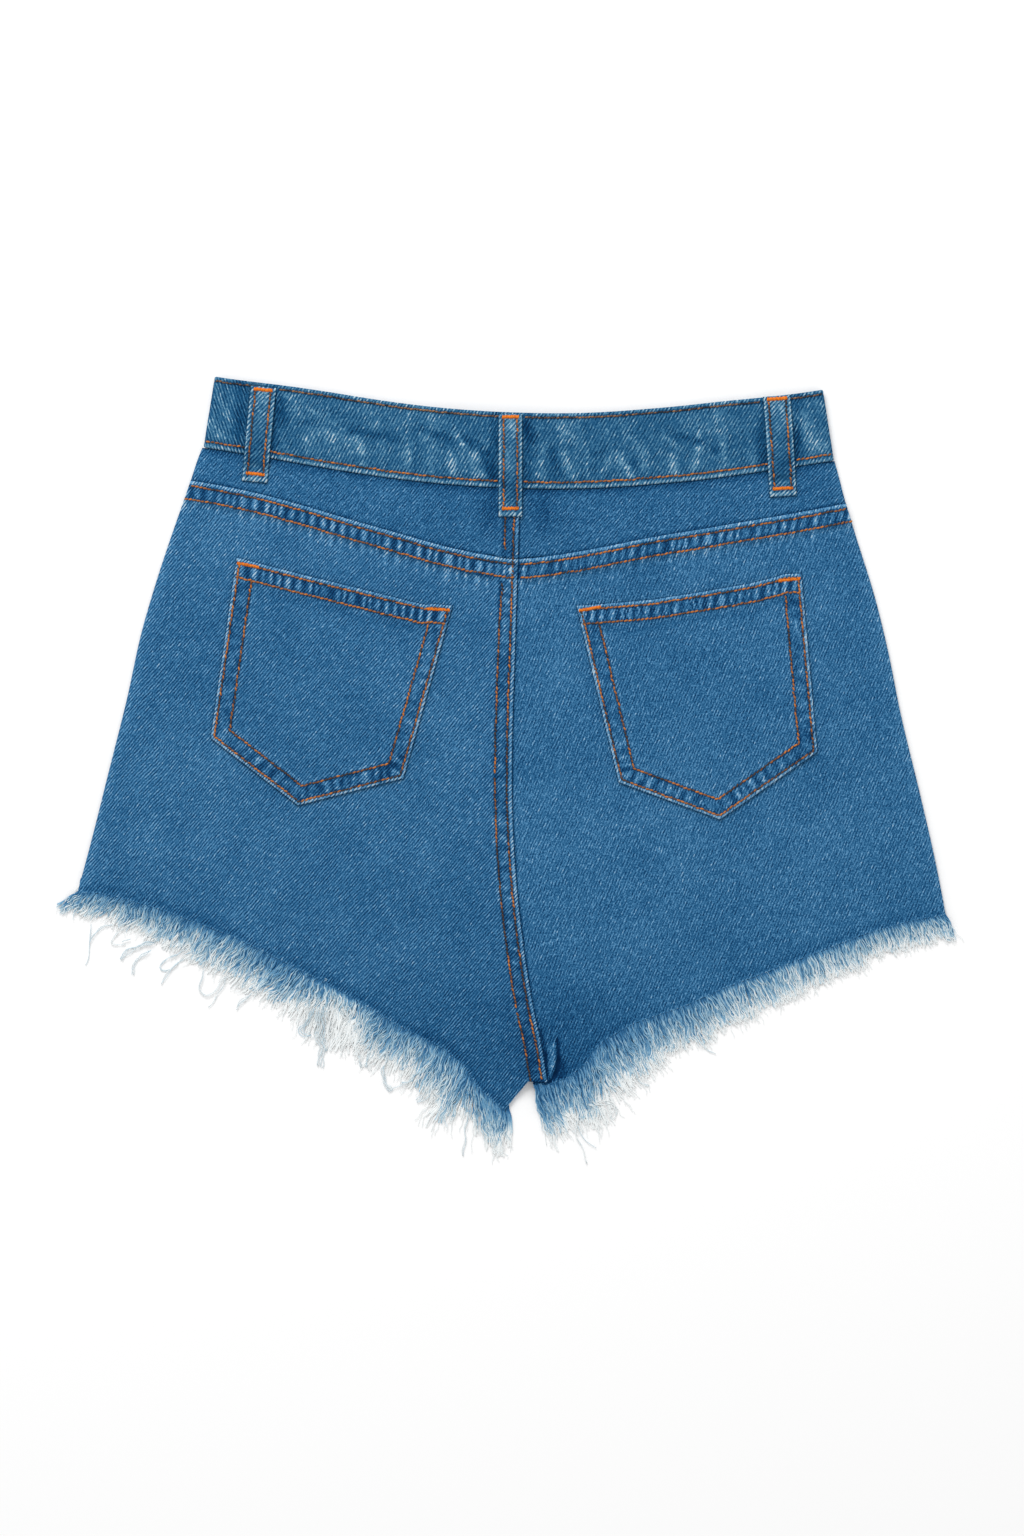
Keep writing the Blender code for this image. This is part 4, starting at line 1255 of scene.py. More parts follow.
def makePocket(pocket):
    side = pocket.side
    top, start = pocketTop(pocket), Line((pocket.topStart, pocket.footStart))
    end = Line((pocket.topEnd, pocket.footEnd))
    bottom = Line((pocket.footStart, pocket.tip, pocket.footEnd), (0, 0.5, 1))
    near, step, seed = pocketLook["edgeSteps"], pocketLook["step"], pocketLook["seed"][side]
    columns, rows = (
        spacing(near, step, near[::-1], length) for length in (top.length, (start.length + end.length) / 2))
    grid, reach = patch(top, bottom, start, end, columns, rows)
    x, y = grid[..., 0], grid[..., 1]
    height, border, hem = pocketHeight(pocket, x, y)
    hemWorn, hemDeep, rope = seamLook(hem, x, pocketLook["topPitch"], pocketLook["topStitches"], seed)
    # puckers are strong along the pointed foot and faint up the sides
    foot = ease((pocket.footEnd.y + 6 - y) / 10) if side == "left" else 0
    strength = 0.2 + 0.45 * np.maximum(foot, ease((14 - y) / 12))
    sideWorn, sideDeep, sideRope = seamLook(
        border, lineAlong(x, y, pocketRim(pocket)), pocketLook["sidePitch"], pocketLook["sideStitches"],
        seed + 4, strength, 0.66)
    onHem = ease((12.6 - hem) / 1.2)
    onSide = ease((12 - border) / 1.5) * (1 - onHem)
    worn = np.maximum(hemWorn * onHem + sideWorn * onSide, 0.75 * fade(border, 1.0, 0.9))
    worn = worn + 0.2 * bump(border - 12.0, 1.4) * (1 - onHem)
    worn = worn + 0.06 * cloudy(x, y, 22, seed) * (1 - onSide) * (1 - onHem)
    darkAndShade = hemDeep * onHem + sideDeep * onSide + pocketLook["shade"][side]
    worn, darkAndShade = speckled(worn, darkAndShade, cloudy(x, y, 3.0, seed + 9) * onSide, 0.45, 0.22)
    darkAndShade = darkAndShade + 0.14 * bump(hem - 15, 4) * grow(border, 10, 4)
    for corner, inset in ((pocket.topStart, 16), (pocket.topEnd, 16), (pocket.footEnd, 12)):
        away = np.hypot(x - corner.x, y - corner.y)
        darkAndShade = darkAndShade + pocketLook["cornerShade"] * np.exp(-((away - inset) / 3.6) ** 2) * (1 - onHem)
    height = height + panel["ropeRise"] * (rope * onHem + 0.7 * sideRope * onSide)
    height = height - panel["groove"] * grooves(hem, pocketLook["topStitches"]) * onHem
    height = height - panel["groove"] * grooves(border, pocketLook["sideStitches"]) * (1 - onHem)
    made = clothPiece(
        f"{pocket.name}_cloth", grid, reach, height, cloth["wall"], worn, darkAndShade, denims[f"{side}Panel"],
        rims, [(rim, panel["flare"]) for rim in rims],
    )
    return dress(made, pocket.name)


pocketPieces = [makePocket(pocket) for pocket in pockets]
print("pockets made")


# belt loops

backLoops = (
    Loop("loop_back_left", Spot(-151.3, 164.8), Spot(-147.2, 219.6), 14.3, 0),
    Loop("loop_back_middle", Spot(-2.6, 147.5), Spot(-3.8, 206.6), 13.2, lapRise),
    Loop("loop_back_right", Spot(155.4, 162.8), Spot(150.3, 220.6), 15.2, 0),
)
loopLook = {
    "wall": 1.2,
    "arch": 1.0,
    "rowStep": 0.9,
    "rows": (0, 0.3, 0.7, 1.2, 1.9, 2.7, 3.5),
    "columnStep": 1.0,
    "columns": (0, 0.3, 0.7, 1.2, 1.9, 2.6, 3.2, 4.2, 5.4),
    "stitch": 2.7,
    "rowEnds": (3.5, 3.0),
    "tackSide": 1.8,
    "footTack": (4.4, 2.2),  # place above the foot, width
    "topTackWidth": 2.4,
    "topTack": {"back": 1.7, "front": 2.4},  # how far below the top
    "flare": 0.4,
}


def loopWays(foot, top):
    # its foot, its length, the way up it and the way to its right
    foot, length = np.array(foot, float), math.dist(foot, top)
    way = (np.array(top) - foot) / length
    return foot, length, way, np.array([way[1], -way[0]])


def loopGrid(foot, top, width, seed):
    # points of a loop with their distances from its edges, and how worn and dark they are
    foot, length, way, right = loopWays(foot, top)
    flat, share = spacing(loopLook["rows"], loopLook["rowStep"], loopLook["rows"][::-1], length)
    up = (flat + share * length)[::-1, None]
    flat, share = spacing(loopLook["columns"], loopLook["columnStep"], loopLook["columns"][::-1], width)
    up, aside = np.broadcast_arrays(up, flat + share * width)
    grid = foot + way * up[..., None] + right * (aside - width / 2)[..., None]
    reach = {"top": length - up, "bottom": up, "start": aside, "end": width - aside}
    edge = np.minimum(aside, width - aside)
    worn = 0.6 * fade(edge, 0.7, 0.8) + 0.6 * fade(up, 1.6, 1.2)
    worn = worn + 0.4 * ease(1 - (length - up - 4) / 14) * grow(edge, 2.8, 0.6)
    worn = worn + 0.16 * cloudy(grid[..., 0] * 1.4, grid[..., 1], 7, seed)
    darkAndShade = 0.4 * bump(edge - loopLook["stitch"], 1.2) + 0.3 * bump(up - length * 0.3, 12)
    return grid, reach, edge, worn, darkAndShade


def backLoopHeight(loop, x, y, distance):
    # outer side of a back loop: its foot on the yoke, then over the band with a little slack
    length = math.dist(loop.foot, loop.top)
    step = float(bandY(loop.foot.x)) - loop.foot.y
    slackStart, slackEnd = step - 3, length - 5
    share = np.clip((distance - slackStart) / (slackEnd - slackStart), 0, 1)
    climb = ease((distance - step + 7) / 4)
    seat = backHeight(x, np.minimum(y, bandY(x))) + loop.seam
    below = seat + (waistband["top"] + bandRise(x) - seat) * climb
    return below + cloth["gap"] + loopLook["wall"] + loopLook["arch"] * np.sin(math.pi * share)


def makeBackLoop(loop):
    grid, reach, edge, worn, darkAndShade = loopGrid(loop.foot, loop.top, loop.width, 101)
    height = backLoopHeight(loop, grid[..., 0], grid[..., 1], reach["bottom"])
    height = height - 0.12 * bump(edge - loopLook["stitch"], 0.9)
    flare = [(rim, loopLook["flare"]) for rim in ("bottom", "start", "end")]
    made = clothPiece(
        f"{loop.name}_cloth", grid, reach, height, loopLook["wall"], worn, darkAndShade, denims["loop"], rims, flare)
    return dress(made, loop.name)


def frontLoopLine(side):
    x = side * frontLoops["x"]
    reach = waistband["height"] - 0.6 + frontLoops["foot"] - 2
    turn = math.atan2(float(bandY(x + 10) - bandY(x - 10)), 20)
    along = np.array([-math.sin(turn), math.cos(turn)])
    foot = np.array([x, float(bandY(x))]) - along * frontLoops["foot"]
    return foot, foot + along * reach


def makeFrontLoop(name, side):
    grid, reach, edge, worn, darkAndShade = loopGrid(*frontLoopLine(side), frontLoops["width"], 107)
    height = 0.25 * bump(edge - loopLook["stitch"], 1.0)
    made = clothPiece(f"{name}_cloth", grid, reach, height, frontLoops["wall"], worn, darkAndShade, denims["loop"],
                      rims, up=False)
    return dress(made, name)


loopPieces = [makeBackLoop(loop) for loop in backLoops]
loopPieces += [makeFrontLoop("loop_front_left", -1), makeFrontLoop("loop_front_right", 1)]
print("belt loops made")


# sewing

thread = {
    "pitch": 2.4,
    "radius": 0.53,
    "rings": np.array([-1.0, -0.72, -0.25, 0.25, 0.72, 1.0]),  # places along a stitch
    "lift": np.array([-0.6, -0.06, 0.26, 0.26, -0.06, -0.6]),
    "taper": np.array([0.55, 0.9, 1.0, 1.0, 0.9, 0.55]),
    "bandPitch": 1.8,
    "floorLift": 0.5,
}
tack = {"spacing": 0.4, "tilt": 0.16, "radius": 0.34, "lift": 1.6}
rng = np.random.default_rng(5)
sewn = {"rust": [], "brown": [], "bright": []}  # rows of (paths, radius, tone)


def addStitches(kind, middles, directions, lengths, surface, radius, tone, sign=1, lift=1.0):
    # one stitch per middle, as a short thread that dips into the cloth at both ends
    run = thread["rings"] * 0.5 * lengths[:, None]
    flat = middles[:, None] + directions[:, None] * run[..., None]
    z = surface(flat[..., 0], flat[..., 1]) + sign * lift * thread["lift"]
    whole = np.ones_like(run)
    sewn[kind].append((np.dstack((flat, z)), radius * thread["taper"] * whole, tone[:, None] * whole))


def stitchRow(points, surface, kind="rust", pitch=thread["pitch"], slant=12.0, patchy=0.5, sign=1,
              skip=0.0):
    # a row of lock stitches along a line
    line = Line(points)
    count = max(int(line.length / pitch), 1)
    t = (np.arange(count) + 0.5) / count
    middles = line.at(t) + line.normal(t) * rng.normal(0, 0.14, count)[:, None]
    ahead = line.at(np.minimum(t + 0.5 / count, 1)) - line.at(np.maximum(t - 0.5 / count, 0))
    angle = np.arctan2(ahead[:, 1], ahead[:, 0]) + np.radians(slant + rng.normal(0, 7, count))
    directions = np.stack([np.cos(angle), np.sin(angle)], -1)
    lengths = pitch * rng.uniform(0.9, 1.04, count)
    worn = 0.5 + 0.5 * wander(t * line.length, 17, int(rng.integers(1, 9999)))
    tone = np.clip(0.74 - patchy * worn + rng.normal(0, 0.30, count), 0.02, 1)
    kept = rng.uniform(size=count) >= skip
    addStitches(kind, middles[kept], directions[kept], lengths[kept], surface, thread["radius"],
                tone[kept], sign)


def bartack(start, end, width, surface, sign=1):
    # dense zigzag stitches over a short run
    line = Line((start, end))
    count = int(line.length / tack["spacing"])
    t = (np.arange(count) + 0.5) / count
    side = line.normal(t)
    along = np.stack([-side[:, 1], side[:, 0]], -1)
    middles = line.at(t) + side * rng.normal(0, 0.12, count)[:, None]
    directions = side + along * tack["tilt"] * np.where(np.arange(count) % 2, 1, -1)[:, None]
    directions = directions / np.linalg.norm(directions, axis=1, keepdims=True)
    lengths = width * rng.uniform(0.86, 1.1, count)
    tone = np.clip(0.72 + rng.normal(0, 0.16, count), 0.2, 1)
    addStitches("bright", middles, directions, lengths, surface, tack["radius"], tone, sign, tack["lift"])


def offsetLine(edge, axis, low, high, distance, steps=120):
    # the line at a distance below an edge that is read by x, or beside one read by y
    at = np.linspace(low, high, steps + 1)
    line = Line(np.stack([at, edge(at)] if axis == "x" else [edge(at), at], -1))
    t = np.linspace(0, 1, steps + 1)
    return line.at(t) + line.normal(t) * distance


def sewLoop(foot, top, width, surface, patchiness, sign, tackInset):
    # two rows up a loop and a bartack at each end
    foot, length, way, right = loopWays(foot, top)
    first, last = loopLook["rowEnds"]
    for hand in (-1, 1):
        row = foot + right * hand * (width / 2 - loopLook["stitch"])
        stitchRow([row + way * first, row + way * (length - last)], surface, patchy=patchiness, sign=sign)
    half = right * (width / 2 - loopLook["tackSide"])
    for up, size in (loopLook["footTack"], (length - tackInset, loopLook["topTackWidth"])):
        bartack(foot + way * up - half, foot + way * up + half, size, surface, sign)


def leftPanel(x, y):
    return panelHeight(x, y, "left") + uneven(x, y)


def rightPanel(x, y):
    return panelHeight(x, y, "right") + uneven(x, y)


def backBand(x, y):
    return waistband["top"] + bandRise(x)


def frontBand(x, y):
    return frontLift(x) + thread["floorLift"]


def frontPanel(x, y):
    return frontHeight(x, y, "right") + thread["floorLift"]


def floorLevel(x, y):
    return np.zeros_like(x) + thread["floorLift"]


# yoke seams, over the back panels
for distance, patchy in zip(panel["stitchRows"], (0.5, 0.4)):
    first, last = (meet(lambda x: yokeY(x) - distance, sideX[side])[0] for side in sideX)
    stitchRow(offsetLine(yokeY, "x", first + 1.6, 0.9, distance), leftPanel, patchy=patchy)
    stitchRow(offsetLine(yokeY, "x", 3.4, last - 1.6, distance), rightPanel, patchy=patchy)
# centre seam, on the left panel and yoke: the far row stops short of the yoke's rows
stitchRow(offsetLine(seamX, "y", 160.5, -178.0, centreLap["stitch"], 200), leftPanel, patchy=0.95, skip=0.02)
stitchRow(((-5.8, 160.0), (-5.7, 148.4), (-5.4, 128.0)), leftPanel, patchy=0.6)
farRow = ((-6.6, 109.0), (-6.7, 104.9), (-7.1, 97.0), (-7.9, 80.0))
farRow = np.concatenate((farRow, offsetLine(seamX, "y", 70.0, -178.0, 9.5)))
stitchRow(farRow, leftPanel, patchy=1.1, skip=0.03)


def insetRim(rim, distance, ends):
    # the sides of a rim moved in, with the corners where they meet, and shortened at both ends
    sidesIn, middle = [], rim.mean(axis=0)
    for a, b in zip(rim, rim[1:]):
        way = (b - a) / np.linalg.norm(b - a)
        inward = np.array([way[1], -way[0]])
        inward = inward * np.sign(np.dot(middle - a, inward))
        sidesIn.append((a + inward * distance, way))
    corners = []
    for (p, u), (q, v) in zip(sidesIn, sidesIn[1:]):
        corners.append(p + u * np.linalg.solve(np.stack([u, -v], -1), q - p)[0])
    (first, firstWay), (last, lastWay) = sidesIn[0], sidesIn[-1]
    last = rim[-1] + last - rim[-2]
    return [first + firstWay * ends, *corners, last - lastWay * ends]


def sewPocket(pocket):
    # hem rows, side rows and bartacks
    def surface(x, y):
        return pocketHeight(pocket, x, y)[0]

    top = pocketTop(pocket)
    below, run = Line((pocket.topStart, pocket.topEnd)).normal(0.5), 1.5 / top.length
    for distance in pocketLook["topStitches"]:
        stitchRow(top.at(np.linspace(run, 1 - run, 60)) + below * distance, surface, patchy=0.35)
    rim = np.array(pocketRim(pocket)[::-1], float)
    for distance, ends in zip(pocketLook["sideStitches"], pocketLook["rowEnds"]):
        stitchRow(insetRim(rim, distance, ends), surface, patchy=0.65)
    slope = (top.at(1) - top.at(0)) / np.linalg.norm(top.at(1) - top.at(0))
    inset, width, (near, far) = below * pocketLook["tackBelow"], pocketLook["tackWidth"], pocketLook["tack"]
    bartack(top.at(0) + slope * near + inset * 1.2, top.at(0) + slope * far + inset, width, surface)
    bartack(top.at(1 - far / top.length) + inset, top.at(1) - slope * near + inset * 1.1, width, surface)


for pocket in pockets:
    sewPocket(pocket)
# waistband: lock stitches at the foot, finer brown ones along the top
for low, high in waistband["backRuns"]:
    x = np.linspace(low, high, 90)
    stitchRow(bandPoint(x, waistband["footStitch"] / bandHeight(x)), backBand, patchy=0.35, slant=8)
    stitchRow(bandPoint(x, 1 - waistband["topStitch"] / bandHeight(x)), backBand, "brown",
              thread["bandPitch"], patchy=0.7, slant=14)
for low, high in waistband["frontRuns"]:
    x = np.linspace(low, high, 80)
    for share in (waistband["footStitch"] / bandHeight(x), 1 - waistband["topStitch"] / bandHeight(x)):
        stitchRow(bandPoint(x, share), frontBand, patchy=0.4, sign=-1)
# belt loops
for loop in backLoops:
    foot, _, way, _ = loopWays(loop.foot, loop.top)

    def loopTop(x, y):
        return backLoopHeight(loop, x, y, (x - foot[0]) * way[0] + (y - foot[1]) * way[1])

    sewLoop(loop.foot, loop.top, loop.width, loopTop, 0.8, 1, loopLook["topTack"]["back"])
for side in (-1, 1):
    sewLoop(*frontLoopLine(side), frontLoops["width"], floorLevel, 0.5, -1, loopLook["topTack"]["front"])
# front centre seam and the curved rows that hold the fly
for distance in front["seamStitches"]:
    inward = cloth["tongue"] - distance
    line = offsetLine(lambda y: seamX(y) - inward, "y", 160, -176, 0, 200)
    stitchRow(line, frontPanel, patchy=0.4, sign=-1)
for reach in (front["flyReach"], front["flyReach"] - front["flyStep"]):
    turn = np.linspace(0, math.pi / 2, 24)[1:]
    foot, base = front["flyFoot"], float(seamX(60)) + 2
    curve = np.stack([base + reach * np.cos(turn), foot - reach * 0.9 * np.sin(turn)], -1)
    straight = np.stack([np.full(20, base + reach), np.linspace(161, foot, 20)], -1)
    stitchRow(np.concatenate((straight, curve)), frontPanel, patchy=0.4, sign=-1)

for kind, rows in sewn.items():
    tubes(f"sewing_{kind}", rows, threads[kind], 4)
    print("stitches:", kind, sum(len(paths) for paths, radius, tone in rows))


# frayed hems

# along a hem from its outer end: length of the yarns, lean outwards in degrees, tangle, how
# far the front's yarns reach beyond the back's, and how much paler they are
frays = {
    "left": rowsOf(Fray,
        (0.00, 17, 44, 0.3, 3, 0.04), (0.05, 16, 30, 0.2, 4, 0.03), (0.12, 16, 14, 0, 4, 0.02),
        (0.22, 17, 8, 0, 4, 0.05), (0.30, 21, 8, 0.1, 4, 0.07), (0.42, 22, 10, 0, 5, 0.02),
        (0.49, 24, 8, 0.1, 5, 0), (0.52, 22, -4, 0.5, 8, 0.1), (0.56, 18, -18, 0.8, 17, 0.22),
        (0.61, 17, -20, 0.8, 18, 0.22), (0.64, 20, -8, 0.4, 8, 0.1), (0.69, 22, 0, 0.1, 7, 0.04),
        (0.73, 22, -2, 0, 8, 0.07), (0.78, 24, -4, 0, 3, 0.08), (0.83, 29, -12, 0, 2, 0.06),
        (0.87, 34, -20, 0, 2, 0.04), (0.89, 30, -16, 0, 1, 0.04), (0.905, 22, -30, 0, 1, 0.05),
        (0.92, 28, -46, 0, 2, 0.02), (0.965, 24, -47, 0, 3, 0), (1.00, 18, -47, 0.1, 4, 0)),
    "right": rowsOf(Fray,
        (0.00, 17, 24, 0.2, 2, 0.14), (0.05, 16, 16, 0.1, 2, 0.15), (0.12, 15, 6, 0, 2, 0.15),
        (0.20, 16, 2, 0, 2, 0.15), (0.36, 19, 2, 0, 2, 0.15), (0.45, 21, 4, 0, 2, 0.14),
        (0.60, 23, 2, 0, 3, 0.06), (0.68, 25, 0, 0.1, 3, 0), (0.74, 28, 0, 0, 4, -0.02),
        (0.80, 26, -12, 0.1, 5, 0), (0.84, 27, -26, 0.2, 6, 0), (0.88, 30, -32, 0.1, 4, -0.02),
        (0.92, 28, -14, 0, 2, -0.04), (0.945, 21, -4, 0, 1, -0.04), (0.96, 19, 0, 0, 1, -0.04),
        (0.975, 28, 3, 0, 1, -0.04), (1.00, 30, 5, 0, 1, -0.04)),
}
# layers of yarns: rings of each, distance apart, thickness, first place inside the edge, the share
# of the length each runs from and to, lean, curl and crimp of single yarns, paler tone, lift, tip height
fringe = {
    "clump": 8.0,
    "clumpLean": 7.0,
    "clumpBend": 0.12,
    "wave": 1.0,
    "waveReach": 5.6,
    "crimpPitch": 6.6,
    "dash": 0.11,
    "wildLean": 6.0,
    "wildBend": 0.06,
    "thinnest": 0.7,
    "flatness": 0.4,
    "lengthWaves": ((0.14, 7.0, 221), (0.10, 2.2, 223)),  # share of the length, reach, seed
    "rootTone": 0.15,
    "tipTone": 0.62,
    "wildTone": 0.2,
    "corner": 20.0,
    "overlap": 7.0,  # how much longer the front's yarns are than the back's
    "seeds": {"left": 311, "right": 331},
    "back": rowsOf(Layer,
        (11, 0.36, 0.52,
         (-0.9, 0.2), (0.0, 0.0), (0.74, 1.00), 2.0, 0.03, 0.10, 0.0, -0.4, (0.5, 0.9)),
        (17, 0.80, 0.36,
         (-0.8, 0.6), (0.0, 0.0), (0.40, 1.00), 3.0, 0.05, 0.30, 0.26, 0.1, (0.9, 1.5)),
        (15, 0.80, 0.28,
         (-0.5, 0.0), (0.3, 0.6), (0.90, 1.08), 5.0, 0.09, 0.40, 0.2, 0.0, (0.6, 1.4))),
    "front": rowsOf(Layer,
        (9, 0.44, 0.62,
         (-1.0, -0.2), (0.0, 0.0), (0.76, 1.00), 2.0, 0.04, 0.15, 0.55, 0.0, (0.35, 0.6)),
        (13, 1.20, 0.28,
         (-0.5, 0.0), (0.4, 0.6), (0.92, 1.10), 6.0, 0.10, 0.45, 0.6, 0.0, (0.35, 0.9))),
}


def yarnLayer(side, kind, layer, rand):
    # paths, thickness and tone of one layer of yarns that the cut left along a hem
    hem, outward = frayedLine(side, kind), 1 if side == "left" else -1
    count = int(hem.length / layer.pitch)
    t = (np.arange(count) + rand.uniform(0.15, 0.85, count)) / count
    at = t * hem.length
    length, lean, wild, under, pale = (
        reader(frays[side], "along", label)(t) for label in ("length", "lean", "wild", "under", "tone"))
    length = length * (1 + sum(size * wander(at, *rest) for size, *rest in fringe["lengthWaves"]))
    if kind == "front":
        # shorter at the side, where the back's yarns don't hide them
        corner = ease(at / fringe["corner"])
        length, lean = (length + fringe["overlap"] + under) * (0.3 + 0.7 * corner), lean * corner
    normal = hem.normal(t, 9) * outward
    lean = -outward * lean + fringe["clumpLean"] * wander(at, fringe["clump"], 201)
    lean = lean + (layer.lean + wild * fringe["wildLean"]) * rand.normal(0, 1, count)
    angle = np.arctan2(normal[:, 1], normal[:, 0]) + np.radians(lean)
    way = np.stack([np.cos(angle), np.sin(angle)], -1)[:, None]
    aside = np.stack([-np.sin(angle), np.cos(angle)], -1)[:, None]
    begin, end = (rand.uniform(*share, count)[:, None] for share in (layer.begin, layer.end))
    share = begin + (end - begin) * np.linspace(0, 1, layer.rings)
    length, wild, pale = length[:, None], wild[:, None], pale[:, None]
    run = share * length
    bend = fringe["clumpBend"] * wander(at, 6, 205)
    bend = bend + (layer.curl + wild[:, 0] * fringe["wildBend"]) * rand.normal(0, 1, count)
    # the crimp that the weave left in each yarn, and a wave that neighbours share
    pitch = fringe["crimpPitch"] * rand.uniform(0.75, 1.35, (count, 1))
    phase = rand.uniform(0, 2 * math.pi, (count, 1))
    crimp = (layer.crimp + 0.3 * wild) * np.sin(2 * math.pi * run / pitch + phase)
    sideways = length * bend[:, None] * share**2 + crimp * ease(run / 3)
    root = hem.at(t) + normal * rand.uniform(*layer.start, count)[:, None]
    flat = root[:, None] + way * run[..., None] + aside * sideways[..., None]
    moved = [cloudy(flat[..., 0], flat[..., 1], fringe["waveReach"], seed) for seed in (251, 253)]
    flat = flat + fringe["wave"] * ease(run / 5)[..., None] * np.stack(moved, -1)
    if kind == "back":
        base = panelHeight(flat[:, 0, 0], flat[:, 0, 1], side) + layer.lift
    else:
        base = rand.uniform(0.5, 0.9, count)
    base, tip = base[:, None], rand.uniform(*layer.tip, count)[:, None]
    z = base + (tip - base) * ease(share * 1.2)
    z = z + wild * np.sin(math.pi * np.clip(share, 0, 1)) * rand.uniform(0, 1.5, (count, 1))
    thin = 1 - (1 - fringe["thinnest"]) * np.clip(share, 0, 1) ** 2
    radius = layer.radius * rand.uniform(0.8, 1.2, (count, 1)) * thin
    tone = fringe["rootTone"] + fringe["tipTone"] * np.clip(share, 0, 1.1) ** 1.5
    grown = ease(0.35 + run / 7) if kind == "back" else ease(share * 1.4)
    tone = tone + layer.tone * grown + fringe["wildTone"] * wild * share + pale * ease(run / 3)
    tone = tone + rand.normal(0, 0.07, (count, 1)) + 0.07 * wander(at, 0.9, 241)[:, None]
    tone = tone + fringe["dash"] * np.sin(2 * math.pi * run / (1.3 * pitch) + 2 * phase)
    return np.dstack((flat, np.maximum(z, 0.3))), radius, np.clip(tone, 0, 1)


def makeFringe(side, kind):
    rand = np.random.default_rng(fringe["seeds"][side] + (0 if kind == "back" else 7))
    layers = [yarnLayer(side, kind, layer, rand) for layer in fringe[kind]]
    made = tubes(f"fray_{kind}_{side}", layers, looseYarn, 3, fringe["flatness"])
    return dress(made, f"fringe_{kind}_{side}")


fringes = {(side, kind): makeFringe(side, kind) for side in sideX for kind in ("back", "front")}


def strayRows(*rows):
    # threads that have come loose from a hem, alone or some together: how many, how far apart,
    # tone, height of the root, and the way from root to tip
    return [Stray(*row[:4], row[4:]) for row in rows]


